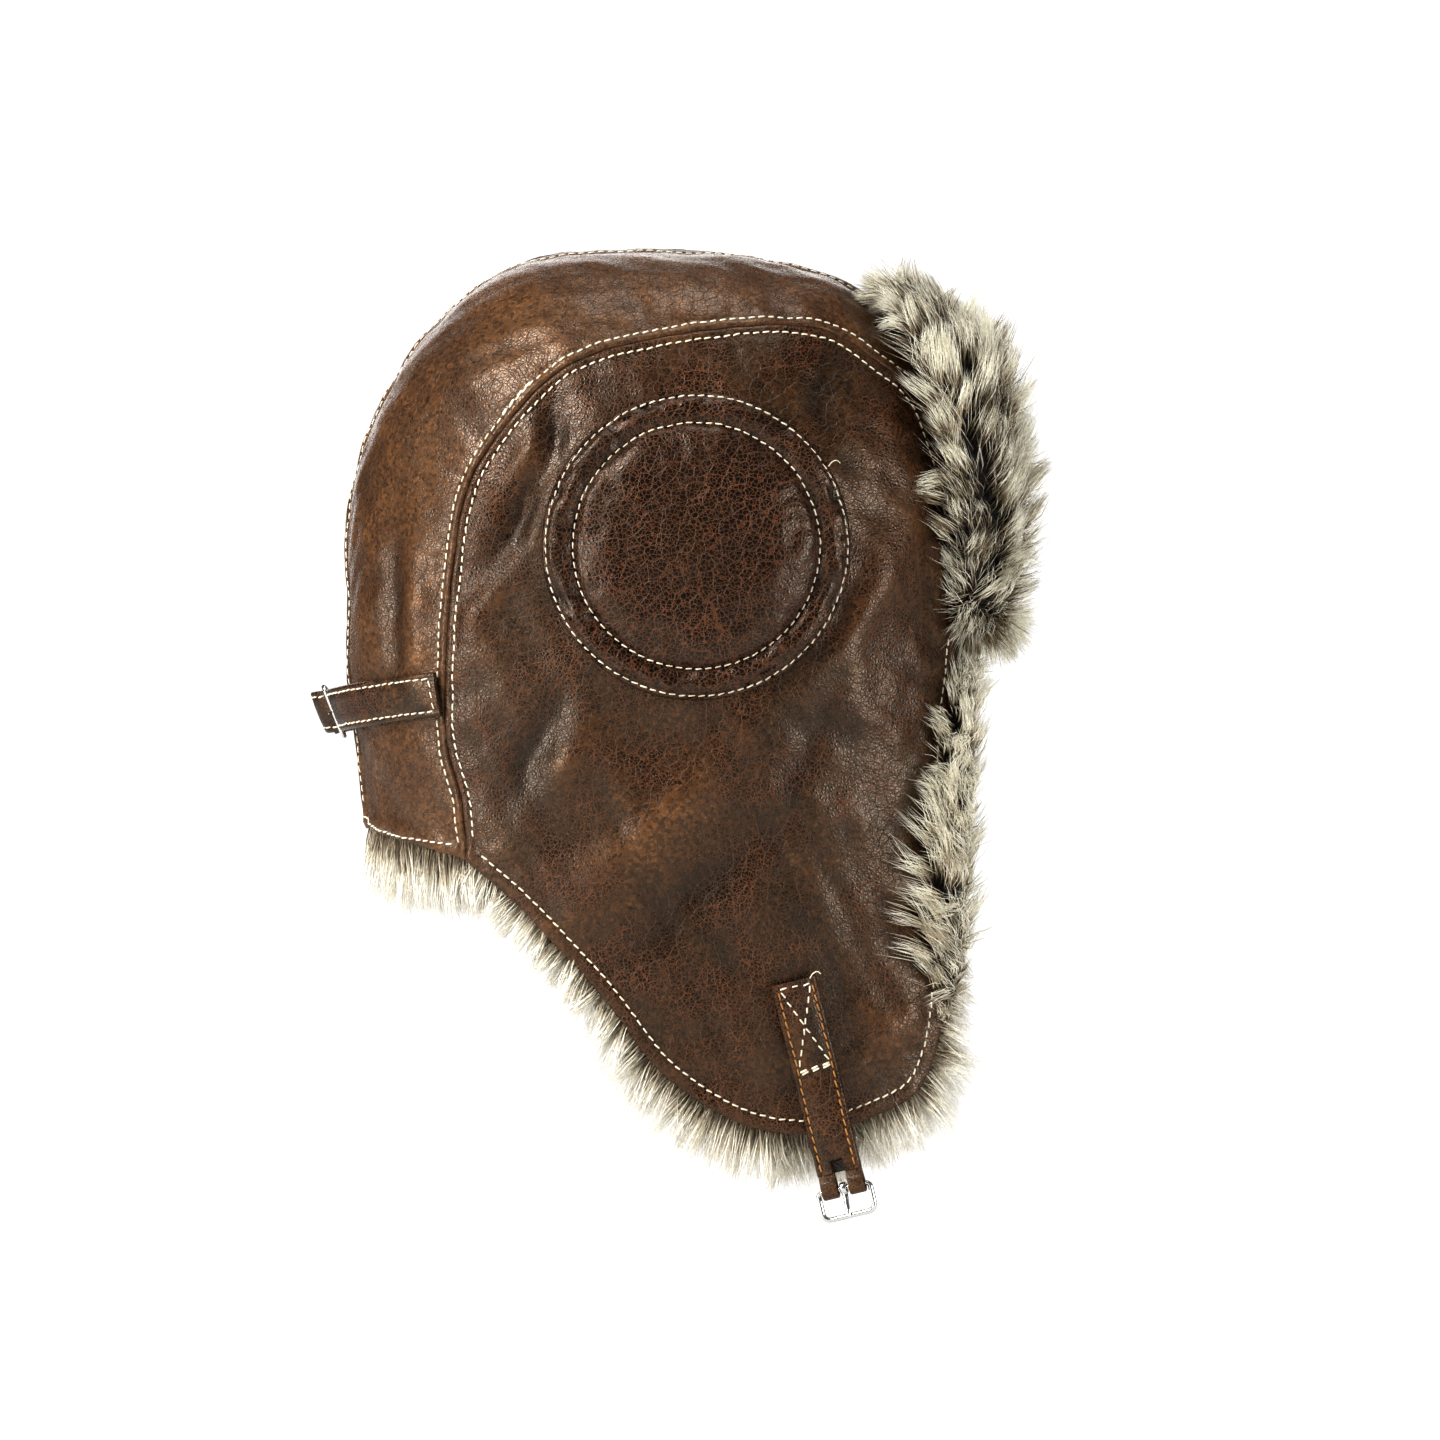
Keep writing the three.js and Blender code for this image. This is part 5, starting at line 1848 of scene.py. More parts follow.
@dataclass(frozen=True)
class Lining:
    """The fur lining: a bed of pile with hair on its face, and long hair along its free edges."""

    back: float = 3.0
    bed: float = 4.9
    gap: float = 0.1
    hem_hairs: int = 4700
    front_hairs: int = 4400
    nape_hairs: int = 2250
    crown_hairs: int = 800
    side_hairs: int = 4100
    hem_length: float = 17.0
    hem_longer: float = 7.0
    front_length: float = 9.0
    nape_length: float = 24.0
    inner_length: float = 15.0
    hem_end: float = 0.73
    front_start: float = 0.6
    front_end: float = 0.985

    def depths(self, base: Array) -> Array:
        """Depth of the bed's face under the leather's: uneven tufts about 9 mm wide."""
        return self.back + self.bed + 0.9 * ripple(base, 14, 51) + 0.5 * ripple(base, 7, 52)

    def bed_faces(self, flat: Array, side: Side) -> tuple[Array, Array]:
        """Back and face of the bed at a grid of places.

        Args:
            flat: Grid of places in the side view.
            side: The side of the hat.

        Returns:
            The points of the back and of the face.
        """
        base = FORM.base(flat.reshape(-1, 2), side, self.gap)
        shape = (*flat.shape[:2], 3)
        back, face = (self.sunk(base, depth)[0].reshape(shape) for depth in (self.back, self.depths(base)))
        return back, face

    def bed_of(self, flat: Array, side: Side, round_panel: bool) -> Surface:
        """The bed of pile behind one panel.

        Args:
            flat: Grid of places in the side view.
            side: The side of the hat.
            round_panel: Whether the grid is made of rings.

        Returns:
            The closed bed, with the tones of its pile as UV.
        """
        back, face = self.bed_faces(flat, side)
        vertices, faces = (round_wall if round_panel else wall)(face, back, 1)
        # The bed takes the roots' colour: painted shade between the tufts.
        return Surface(vertices, faces, pile_uv(len(vertices), 0.2, 0.2, 0.8, 53))

    def under(self, flat: Array, side: Side, depth: Array) -> tuple[Array, Array]:
        """Points at a depth under the leather's face, with the outward directions."""
        return self.sunk(FORM.base(flat, side, self.gap), depth)

    @staticmethod
    def sunk(base: Array, depth: Array | float) -> tuple[Array, Array]:
        """Points of the hat's form moved to a depth under the leather, with the outward directions.

        Args:
            base: Points of the hat's form.
            depth: How deep under the leather.

        Returns:
            The moved points and the directions.
        """
        normal = FORM.normal(base)
        folds = FORM.folds(base[:, 0], base[:, 2])
        return base + normal * (folds - depth)[:, None], normal

    def hem_places(self, at: Array) -> tuple[Array, Array]:
        """Places along the flap's free edge in the side view, with the directions off the flap there.

        Args:
            at: Shares of the way along the hem.

        Returns:
            The places and the directions.
        """
        line = PATTERN.hem
        lengths = arc_lengths(line)
        edge = read_along(lengths, line, at * lengths[-1])
        ahead = read_along(lengths, tangents(line), at * lengths[-1])
        return edge, unit(np.stack([ahead[:, 1], -ahead[:, 0]], axis=1))

    def hem_hair(self, side: Side) -> Surface:
        """Hair along the flap's free edge at the back and the bottom, which runs off the edge and down.

        Args:
            side: The side of the hat.

        Returns:
            The hairs.
        """
        rng = np.random.default_rng(61 + side.value)
        count = self.hem_hairs
        edge, outward = self.hem_places(rng.uniform(0, self.hem_end, count))
        inset = rng.uniform(0.3, 6.0, count)
        depth = rng.uniform(2.2, 9.0, count)
        roots, normal = self.under(edge - outward * inset[:, None], side, depth)
        beyond, _ = self.under(edge - outward * (inset - 0.5)[:, None], side, depth)
        off = unit(beyond - roots)
        down = np.array([0.05, 0.0, -1.0])
        face = ((5.6 - depth) / 3.4)[:, None]
        shake = rng.normal(0, 0.17, (count, 3))
        first = off + down * 0.2 + normal * face * 0.3 + shake
        last = off * 0.75 + down * 0.6 + normal * face * 0.1 + shake
        length = self.hem_length + self.hem_longer * smoothstep(edge[:, 1], -120, -165)
        length = length * rng.uniform(0.72, 1.12, count)
        coat = Coat(tuft=22, gather=0.85, frizz=0.07)
        return coat.grow(roots, first, last, length + inset * 0.7, 62 + side.value)

    def roll_point(self, at: Array, turn: Array, side: Side) -> tuple[Array, Array, Array]:
        """Points of the roll of pile that wraps round the flap's front edge.

        The roll's section is an ellipse. At turn 0 it points off the edge and at a quarter turn outwards.

        Args:
            at: Share of the way along the hem.
            turn: Direction round the roll.
            side: The side of the hat.

        Returns:
            The points, the directions off the edge and the leather's outward directions.
        """
        edge, outward = self.hem_places(at)
        base, normal = self.under(edge, side, np.zeros(len(edge)))
        beyond, _ = self.under(edge - outward * 0.5, side, np.zeros(len(edge)))
        off = unit(base - beyond)
        size = (smoothstep(at, self.front_start, 0.7) * (1 - smoothstep(at, 0.88, 1.0)))[:, None]
        away = 3.4 * np.cos(turn)[:, None] * (0.25 + 0.75 * size) + 1.6 - 2.6 * size
        out = -2.6 + (1.6 + 5.6 * np.sin(turn))[:, None] * size
        return base + off * away + normal * out, off, normal

    def roll(self, side: Side) -> Surface:
        """The roll of pile itself, which the front hair grows from.

        Args:
            side: The side of the hat.

        Returns:
            The closed roll.
        """
        at = np.linspace(self.front_start, self.front_end, 90)
        along, around = np.meshgrid(at, turns(18), indexing="ij")
        points, _, _ = self.roll_point(along.ravel(), around.ravel(), side)
        surface = tube(points.reshape(*along.shape, 3))
        # The roll takes the near-black root colour: painted shade at the foot of the front hair.
        surface.uv = pile_uv(along.size, 0.1, 0.2, 0.6, 55)
        return surface

    def front_hair(self, side: Side) -> Surface:
        """Hair of the flap's front edge: part curls back over the leather, and part stands up in front.

        Args:
            side: The side of the hat.

        Returns:
            The hairs.
        """
        rng = np.random.default_rng(63 + side.value)
        count = self.front_hairs
        at = rng.uniform(self.front_start + 0.01, self.front_end, count)
        curl = rng.uniform(0, 1, count) < 0.6 * (1 - smoothstep(at, 0.88, 0.97))
        turn = np.radians(np.where(curl, rng.uniform(70, 178, count), rng.uniform(-95, 75, count)))
        roots, off, normal = self.roll_point(at, turn, side)
        away = off * np.cos(turn)[:, None] + normal * np.sin(turn)[:, None]
        roots = roots - away * 0.8
        shake = rng.normal(0, 0.16, (count, 3))
        curled = away * 0.75 + UP * 0.4 + normal * 0.3 + shake
        curled_end = UP * 0.55 - off + normal * 0.05 + shake
        risen = away * 0.8 + UP * 0.6 + shake
        risen_end = off * 0.3 + UP + shake
        first = np.where(curl[:, None], curled, risen)
        last = np.where(curl[:, None], curled_end, risen_end)
        full = smoothstep(at, self.front_start, 0.68) + 0.4 * smoothstep(at, 0.9, 0.97)
        over = 22 - 11 * smoothstep(at, 0.72, 0.9)
        ahead = 15 - 3 * smoothstep(at, 0.85, 0.95)
        length = self.front_length + np.where(curl, over, ahead) * full
        length = length * rng.uniform(0.7, 1.12, count)
        coat = Coat(tuft=22, gather=0.85, frizz=0.07, lean=0.26)
        return coat.grow(roots, first, last, length, 64 + side.value)

    def nape_hair(self, side: Side) -> Surface:
        """Hair along the crown's lower edge at the back, which falls straight.

        Args:
            side: The side of the hat.

        Returns:
            The hairs.
        """
        rng = np.random.default_rng(71 + side.value)
        line = PATTERN.nape()
        count = self.nape_hairs
        spread = rng.uniform(0, 1, count)
        width = FORM.half_width(SEAM[-1:, 0], SEAM[-1:, 1])[0]
        sideways = side.value * spread * (width + 1)
        inset = rng.uniform(0.3, 7, count)
        depth = rng.uniform(2.3, 9.2, count)
        z = line[0, 1] + (line[-1, 1] - line[0, 1]) * spread + inset
        base = np.stack([FORM.reach(sideways, z, False), sideways, z], axis=1)
        roots, normal = self.sunk(base, depth)
        face = ((5.6 - depth) / 3.4)[:, None]
        shake = rng.normal(0, 0.14, (count, 3))
        first = normal * (face * 0.18 - 0.12) - UP + shake
        last = -UP - normal * 0.16 + shake
        length = self.nape_length * rng.uniform(0.7, 1.15, count) + inset
        coat = Coat(tuft=24, gather=0.85, frizz=0.06, lean=0.14)
        return coat.grow(roots, first, last, length, 72 + side.value)

    def inner_hair(self, flat: Array, side: Side, count: int, seed: int) -> Surface:
        """Shorter hair on the bed's face, leaning down, with little of it high in the crown.

        Each hair stands in a cell of the grid, picked with a chance in proportion to the cell's area.

        Args:
            flat: Grid of places in the side view.
            side: The side of the hat.
            count: How many hairs.
            seed: Choice of their places.

        Returns:
            The hairs.
        """
        rng = np.random.default_rng(seed)
        base = FORM.base(flat.reshape(-1, 2), side, self.gap).reshape(*flat.shape[:2], 3)
        corner = base[1:, :-1].reshape(-1, 3)
        over = base[1:, 1:].reshape(-1, 3) - corner
        back = base[:-1, :-1].reshape(-1, 3) - corner
        area = np.linalg.norm(np.cross(over, back), axis=1)
        chance = area * (1 - 0.9 * smoothstep(corner[:, 2], 0, 50))
        cell = rng.choice(len(corner), count, p=chance / chance.sum())
        t = rng.uniform(0, 1, (2, count, 1))
        place = corner[cell] + t[0] * over[cell] + t[1] * back[cell]
        roots, normal = self.sunk(place, self.depths(place) - 1.4)
        shake = rng.normal(0, 0.28, (count, 3))
        shake = shake - normal * np.maximum(0, (shake * normal).sum(axis=1, keepdims=True))
        first = -normal - UP * 0.4 + shake
        last = -normal * 0.25 - UP + shake
        coat = Coat(radius=0.46, rings=2, tuft=16, gather=0.75)
        length = self.inner_length * rng.uniform(0.7, 1.2, count)
        return coat.grow(roots, first, last, length, seed + 1)

    def build(self, finishes: Finishes) -> None:
        """Makes the beds and the hair of both sides.

        Args:
            finishes: The hat's materials.
        """
        crown = CrownPanels(rows=96, columns=24).grid()
        around = SidePanels(rings=24, seam_steps=80, hem_steps=96).grid(self.gap)
        fur = finishes.lining
        for number, side in enumerate(Side):
            label = side.name.lower()
            crown_bed = self.bed_of(crown, side, False)
            side_bed = self.bed_of(around, side, True)
            add_piece(f"crown_pile_{label}", crown_bed, fur, Slot.LINING, f"crown_lining_{label}")
            add_piece(f"side_pile_{label}", side_bed, fur, Slot.LINING, f"side_lining_{label}")
            inner = [
                self.inner_hair(crown, side, self.crown_hairs, 81 + 10 * number),
                self.inner_hair(around, side, self.side_hairs, 85 + 10 * number),
            ]
            for name, made, finish in (
                ("inner_hair", Surface.merged(inner), fur),
                ("flap_hair", self.hem_hair(side), fur),
                ("flap_roll", self.roll(side), finishes.visor),
                ("front_hair", self.front_hair(side), finishes.front),
                ("nape_hair", self.nape_hair(side), fur),
            ):
                add_piece(f"{name}_{label}", made, finish, Slot.LINING)


# Visor.


@dataclass(frozen=True)
class Visor:
    """The turned-up visor: a leather backing that stands off the crown, and deep fur on its front."""

    low: float = -3.4
    high: float = 111.0
    thick: float = 1.6
    gap: float = 0.3
    pile_thick: float = 6.5
    pile_thin: float = 2.0
    steps: int = 64
    stride: int = 4
    hairs: int = 10300
    guard_hairs: int = 3100
    rim_share: float = 0.24
    top_share: float = 0.09
    low_share: float = 0.07
    root_depth: float = 2.2

    def read(self, share: Array, values: list[float]) -> Array:
        """A column of the visor's table at a share of its height."""
        z = np.array([-3.4, 6, 28, 52, 77, 98, 111])
        return cubic(z, np.array(values, float), self.low + share * (self.high - self.low))

    def half(self, share: Array) -> Array:
        """Half width."""
        return self.read(share, [43, 47, 51, 52, 49, 40, 26])

    def stand(self, share: Array) -> Array:
        """Distance of the backing's back face from the crown."""
        return self.read(share, [0.3, 1.6, 3, 5, 8, 9.5, 9])

    def point(self, share: Array, across: Array, height: Array | float) -> tuple[Array, Array]:
        """Points of the visor.

        Args:
            share: Share of its height, from the brow up.
            across: Place across it, from -1 on the wearer's right to 1.
            height: Height above the back face.

        Returns:
            The points, and the outward directions.
        """
        z = self.low + share * (self.high - self.low)
        y = across * self.half(share)
        base = np.stack([FORM.reach(y, z, True), y, z], axis=1)
        normal = FORM.normal(base)
        return base + normal * (self.stand(share) + height)[:, None], normal

    def pile(self, share: Array, across: Array) -> Array:
        """Height of the pile's face, which thins towards the edges and is tufted.

        Args:
            share: Shares of the visor's height.
            across: Places across it.

        Returns:
            The height over the backing's back face.
        """
        full = (1 - across**4) * (1 - (2 * share - 1) ** 4)
        tufts = np.sin(17 * share + 3 * across) * np.sin(15 * across + 4 * share)
        thickness = self.pile_thin + (self.pile_thick - self.pile_thin) * full + 0.8 * tufts * full
        return self.thick + self.gap + thickness

    def layer(self, low: Array | float, high: Array | float) -> Surface:
        """A closed layer of the visor between two heights on its grid.

        Args:
            low: Height of its back.
            high: Height of its face.

        Returns:
            The closed layer.
        """
        share, across = self.places()
        size = self.steps + 1
        back, _ = self.point(share, across, low)
        face, _ = self.point(share, across, high)
        vertices, faces = wall(face.reshape(size, size, 3), back.reshape(size, size, 3), self.stride)
        # The pile takes the visor's near-black root colour: painted shade between the tufts.
        return Surface(vertices, faces, pile_uv(len(vertices), 0.12, 0.1, 0.5, 91))

    def places(self) -> tuple[Array, Array]:
        """The grid's shares of the height and places across.

        Returns:
            The shares and the places across, one for each point.
        """
        line = np.linspace(0, 1, self.steps + 1)
        share, across = np.meshgrid(line, 2 * line - 1, indexing="ij")
        return share.ravel(), across.ravel()

    def hair(self, count: int, coat: Coat, size: float, seed: int) -> Surface:
        """Fur that rises from the pile, stands off most at mid height and spreads past the edges.

        Args:
            count: How many hairs.
            coat: Their kind.
            size: Share of the full length.
            seed: Choice of their places.

        Returns:
            The hairs.
        """
        rng = np.random.default_rng(seed)
        share = rng.uniform(0, 1, count)
        across = rng.uniform(-1, 1, count)
        rim = rng.uniform(0, 1, count) < self.rim_share
        across = np.where(rim, np.sign(across) * (1 - 0.13 * np.abs(across)), across)
        top = rng.uniform(0, 1, count) < self.top_share
        share = np.where(top, 1 - 0.1 * share, share)
        low = rng.uniform(0, 1, count) < self.low_share
        share = np.where(low, 0.05 * share, share)
        roots, normal = self.point(share, across, self.pile(share, across) - self.root_depth)
        up = unit(UP - normal[:, 2:] * normal)
        sideways = np.cross(up, normal)
        sideways = sideways * np.sign(sideways[:, 1:2] + 1e-9) * np.sign(across)[:, None]
        length = self.read(share, [20, 20, 22, 24, 26, 19, 19]) * size * rng.uniform(0.75, 1.1, count)
        lift = self.read(share, [0.9, 0.85, 0.95, 1.05, 1.1, 0.25, 0.2])[:, None]
        rise = self.read(share, [-0.8, 0.3, 0.6, 0.75, 0.85, 0.95, 1.0])[:, None]
        edge = (across**6)[:, None]
        spread = (np.abs(across) ** 1.5)[:, None]
        crest = smoothstep(share, 0.86, 0.98)[:, None]
        back = -normal * rng.uniform(0.0, 0.9, (count, 1))
        shake = rng.normal(0, 0.18, (count, 3))
        over = back * np.maximum(0.5 * edge, crest)
        first = up * rise * 0.6 + normal * lift * (1 - 0.75 * edge) * (1 - crest) + shake
        first = first + sideways * (0.3 * spread + edge) + over
        last = up * rise * 1.3 + normal * lift * 0.3 * (1 - edge) * (1 - crest) + shake
        last = last + sideways * (0.25 * spread + 0.5 * edge) + over
        return coat.grow(roots, first, last, length, seed + 1)

    def build(self, finishes: Finishes) -> None:
        """Makes the backing, the pile and two coats of hair.

        Args:
            finishes: The hat's materials.
        """
        fur = finishes.visor
        backing = self.layer(0.0, self.thick)
        add_piece("visor_leather", backing, finishes.shell, Slot.LEATHER, "visor_backing")
        pile = self.layer(self.thick + self.gap, self.pile(*self.places()))
        add_piece("visor_pile", pile, fur, Slot.VISOR, "visor_fur")
        coat = Coat(tuft=46, gather=0.88, frizz=0.07, wave=0.03, lean=0.44)
        add_piece("visor_hair", self.hair(self.hairs, coat, 1.0, 92), fur, Slot.VISOR)
        guard = Coat(radius=0.18, rings=2, tuft=4, gather=0.3, frizz=0.14, wave=0.03)
        add_piece("visor_guard_hair", self.hair(self.guard_hairs, guard, 1.05, 95), fur, Slot.VISOR)


# Straps and buckles.


@dataclass(frozen=True)
class StrapMake:
    """How every strap is made: leather face, black back and edges, and rows of stitches near both edges."""

    half: float = 8.25
    thick: float = 3.0
    corner: float = 0.9
    stitch: float = 6.2
    loop_radius: float = 2.25
    finger_thick: float = 1.4
    finger_inset: float = 0.35
    slot: float = 2.1
    black_share: float = 0.62

    def section(self, half: float, thick: float) -> tuple[Array, Array]:
        """Profile of the strap with stitch grooves and a slightly raised middle.

        Args:
            half: Half width.
            thick: Thickness.

        Returns:
            The profile's points, and for each how black it is.
        """
        inner = half - self.corner
        row = half - (self.half - self.stitch)
        right = np.array([inner, row + 0.55, row, row - 0.55, 0.5 * row, self.slot + 0.3, self.slot - 0.1])
        top = np.concatenate([right, -right[::-1]])
        rise = thick + 0.3 * (1 - (top / half) ** 2) - 0.3 * bell(np.abs(top), row, 0.4)
        turn = np.linspace(-np.pi / 2, np.pi / 2, 6)[1:-1]
        edge = np.stack([inner + self.corner * np.cos(turn), thick / 2 + thick / 2 * np.sin(turn)], axis=1)
        back = np.array([[-inner, 0], [0, 0], [inner, 0]])
        points = np.concatenate([back, edge, np.stack([top, rise], axis=1), edge[::-1] * [-1, 1]])
        black = (points[:, 1] < self.black_share * thick).astype(float)
        return points, black

    def strip(self, points: Array, black: Array) -> Surface:
        """A strap's closed strip, with its worn edges and black back.

        Args:
            points: Places along the strap by points of its profile by 3.
            black: How black each point of the profile is.

        Returns:
            The closed strip.
        """
        surface = tube(points)
        wear = 0.5 * ripple(surface.vertices, 14, 101)
        surface.values = {"wear": wear, "black": np.tile(black, len(points))}
        return surface

    @staticmethod
    def rounded(over: Array, power: float) -> Array:
        """Share of the width along a rounded end: (1 - over^power)^(1 / 2), but never quite 0."""
        return np.sqrt(np.maximum(0.0, 1 - over**power)) * 0.97 + 0.03

    def fingers(self, stand: Stance) -> list[Surface]:
        """The strap's two fingers, each bent round the buckle's heel bar.

        Args:
            stand: The buckle's stance.

        Returns:
            The fingers.
        """
        arc = polar(self.loop_radius, np.radians(np.linspace(76, -76, 15)))
        lead = np.array([[-8.2, 0.85], [-6.0, 0.85], [-4.0, 1.25], [-2.0, 1.9]])
        path = spaced(np.concatenate([lead, arc, lead[::-1] * [1, -1]]), 40)
        path = np.insert(path, 1, 0.0, axis=1)
        rise = np.cross(tangents(path), LEFTWARDS)
        width = (self.half - self.finger_inset - self.slot) / 2
        section = rounded_strip(width, self.finger_thick, 0.5) - [0, self.finger_thick / 2]
        made = []
        for hand in (1, -1):
            middle = path + hand * (self.slot + width) * LEFTWARDS
            surface = tube(stand.place(carried(middle, LEFTWARDS, rise, section)))
            surface.values = {"wear": np.full(len(surface.vertices), 0.35)}
            made.append(surface)
        return made


@dataclass(frozen=True)
class Stance:
    """Where a buckle stands: its heel bar's middle, the way to its end bar and the way out."""

    heel: Array
    along: Array
    outward: Array

    def place(self, points: Array) -> Array:
        """Points given along, across and outward moved to the buckle's place."""
        basis = np.stack([self.along, np.cross(self.outward, self.along), self.outward])
        return self.heel + points @ basis


@dataclass(frozen=True)
class BuckleMake:
    """A wire buckle: a rounded frame and a prong with an eye round the heel bar."""

    length: float = 10.0
    half: float = 9.6
    wire: float = 0.92
    corner: float = 2.6
    heel_corner: float = 1.3
    rest: float = 1.8
    eye: float = 1.9
    eye_wide: float = 1.15
    past: float = 1.0

    def frame(self, stand: Stance) -> Surface:
        """The frame: round wire along a rectangle whose corners are quarter circles.

        Args:
            stand: The buckle's stance.

        Returns:
            The closed ring of wire.
        """
        turn = np.linspace(0, np.pi / 2, 9)
        rows = []
        for quarter, (end, hand) in enumerate(((True, 1), (False, 1), (False, -1), (True, -1))):
            radius = self.corner if end else self.heel_corner
            middle = np.array([self.length - radius if end else radius, hand * (self.half - radius)])
            rows.append(middle + polar(radius, 0.5 * quarter * np.pi + turn))
        loop = np.concatenate([*rows, rows[0][:1]])
        path = spaced(loop, 97)[:-1]
        ahead = unit(np.roll(path, -1, axis=0) - np.roll(path, 1, axis=0))
        out = np.stack([ahead[:, 1], -ahead[:, 0], np.zeros(len(path))], axis=1)
        local = np.column_stack([path, np.zeros(len(path))])
        return hoop(stand.place(carried(local, out, UP, circle(self.wire, 14))))

    def prong(self, stand: Stance) -> Surface:
        """The prong: a flat ring round the heel bar and a tapered arm that rests on the end bar.

        Args:
            stand: The buckle's stance.

        Returns:
            The ring and the arm as one mesh.
        """
        radial = np.insert(polar(1.0, turns(28)), 1, 0.0, axis=1)
        eye = carried(self.eye * radial, LEFTWARDS, radial, circle(self.eye_wide, 10, 0.38))
        tip = self.length + self.past
        x = np.linspace(1.6, tip, 18)
        path = np.column_stack([x, np.zeros(18), self.rest * smoothstep(x, 1.0, self.length - 1.2)])
        taper = np.interp(x, [1.6, 4.0, self.length, tip], [1.1, 0.95, 0.68, 0.3])
        section = circle(1.0, 12, 0.66)[None] * taper[:, None, None]
        arm = carried(path, LEFTWARDS, np.cross(tangents(path), LEFTWARDS), section)
        return Surface.merged([hoop(stand.place(eye)), tube(stand.place(arm))])


MAKE = StrapMake()
BUCKLE = BuckleMake()


@dataclass(frozen=True)
class ChinStraps:
    """The chin straps: the right one carries the open buckle, the left one is a plain tongue with holes."""

    x: float = 51.3
    z: float = -128.7
    lean: float = 13.9
    sewn: float = 31.0
    length: float = 75.8
    twist: float = 12.0
    lift: float = 0.9
    fork: float = 6.0
    punched: float = 2.0
    slot_far: float = 5.0
    slot_near: float = 3.8
    tab: float = 12.5
    tab_inset: float = 0.4
    tab_thick: float = 1.7
    tab_low: float = 1.6
    taper: float = 12.0
    tip: float = 2.0
    holes: int = 4
    hole_pitch: float = 9.0
    steps: int = 90

    def flat(self, along: Array, across: Array) -> Array:
        """Places of the side view at a distance down the strap and across it.

        Args:
            along: Distance down the strap.
            across: Place across it.

        Returns:
            The places.
        """
        lean = math.radians(self.lean)
        down = np.array([math.sin(lean), -math.cos(lean)])
        over = np.array([math.cos(lean), math.sin(lean)])
        top = np.array([self.x, self.z])
        return top + along[..., None] * down + across[..., None] * over

    def stand(self, flat: Array) -> Array:
        """Distance of the strap's back from the middle plane where it lies on the flap."""
        folds = np.maximum(0, FORM.folds(flat[..., 0], flat[..., 1]))
        return FORM.half_width(flat[..., 0], flat[..., 1]) + folds + self.lift

    def point(self, along: Array, across: Array, rise: Array, side: Side) -> Array:
        """Points of a strap: on the flap where it is sewn, then plumb and slightly twisted.

        Args:
            along: Distance along it from its top end.
            across: Place across it.
            rise: Height above its back.
            side: The side of the hat.

        Returns:
            The points.
        """
        along, across, rise = np.broadcast_arrays(along, across, rise)
        hang = self.stand(self.flat(np.array([self.sewn]), np.array([0.0])))[0]
        free = smoothstep(along, 24, 43)
        turn = np.radians(self.twist) * smoothstep(along, 27, self.length - 16)
        place = self.flat(along, across * np.cos(turn) - rise * np.sin(turn))
        on_flap = self.stand(self.flat(along, across)) + rise
        hung = hang + across * np.sin(turn) + rise * np.cos(turn)
        y = side.value * (on_flap + (hung - on_flap) * free)
        return np.stack([place[..., 0], y, place[..., 1]], axis=-1)

    def stance(self) -> Stance:
        """The buckle hangs plumb from its heel bar, as far as the bar's own slant lets it.

        Returns:
            The stance of the buckle at rest.
        """
        across, rise = np.array([0.0, -5.0, 5.0]), np.array([MAKE.thick / 2, 0, 0])
        heel, near, far = self.point(np.full(3, self.length), across, rise, Side.RIGHT)
        bar = unit(far - near)
        plumb = unit(bar * bar[2] - UP)
        return Stance(heel, plumb, np.cross(plumb, bar))

    def right(self) -> Surface:
        """The right strap: a slot for the prong, fingers round the heel bar and the end folded back.

        Returns:
            The strap, its folded end and its fingers as one mesh.
        """
        end = self.length - self.fork
        section, black = MAKE.section(MAKE.half, MAKE.thick)
        across, rise = section.T
        along = np.linspace(0, end, self.steps)[:, None]
        near = (rise > 0.8 * MAKE.thick) & (np.abs(across) < MAKE.slot)
        slot = smoothstep(along, end - self.slot_far, end - self.slot_near) * near
        body = MAKE.strip(self.point(along, across, rise - self.punched * slot, Side.RIGHT), black)
        body.values["black"] = np.maximum(body.values["black"], slot.ravel())
        section, _ = MAKE.section(MAKE.half - self.tab_inset, self.tab_thick)
        across, rise = section.T
        along = np.linspace(end - self.tab, end - 0.5, self.steps)[:, None]
        tab = MAKE.strip(self.point(along, across, rise - self.tab_low, Side.RIGHT), np.ones(len(section)))
        return Surface.merged([body, tab, *MAKE.fingers(self.stance())])

    def left(self) -> Surface:
        """The left strap: a tongue that narrows to a rounded end.

        Returns:
            The strap's mesh.
        """
        section, black = MAKE.section(MAKE.half, MAKE.thick)
        across, rise = section.T
        start = self.length - self.taper
        even, tip = np.linspace(0, start, 70), np.linspace(start + 0.4, self.length + self.tip, 24)
        along = np.concatenate([even, tip])[:, None]
        width = MAKE.rounded(np.clip((along - start) / (self.taper + self.tip), 0, 1), 2.6)
        return MAKE.strip(self.point(along, across * width, rise, Side.LEFT), black)

    def hole_shades(self) -> Surface:
        """Black discs set into the tongue's face at its holes: the black cut edge of the strap's back, and
        painted shade inside each hole.

        Returns:
            The discs as one mesh.
        """
        profile = np.array([(1.75, 2.9), (1.75, 3.36), (1.4, 3.4), (1.0, 3.3), (0.05, 3.24), (0.05, 2.9)])
        radius, rise = profile[:, :1], profile[:, 1:]
        turn = turns(20)
        rings = []
        for number in range(self.holes):
            along = self.sewn + 6 + self.hole_pitch * number + radius * np.sin(turn)
            rings.append(tube(self.point(along, radius * np.cos(turn), rise, Side.LEFT)))
        surface = Surface.merged(rings)
        # Black and darkened all over: painted shade in place of open holes.
        black = np.ones(len(surface.vertices))
        surface.values = {"wear": -black, "black": black}
        return surface

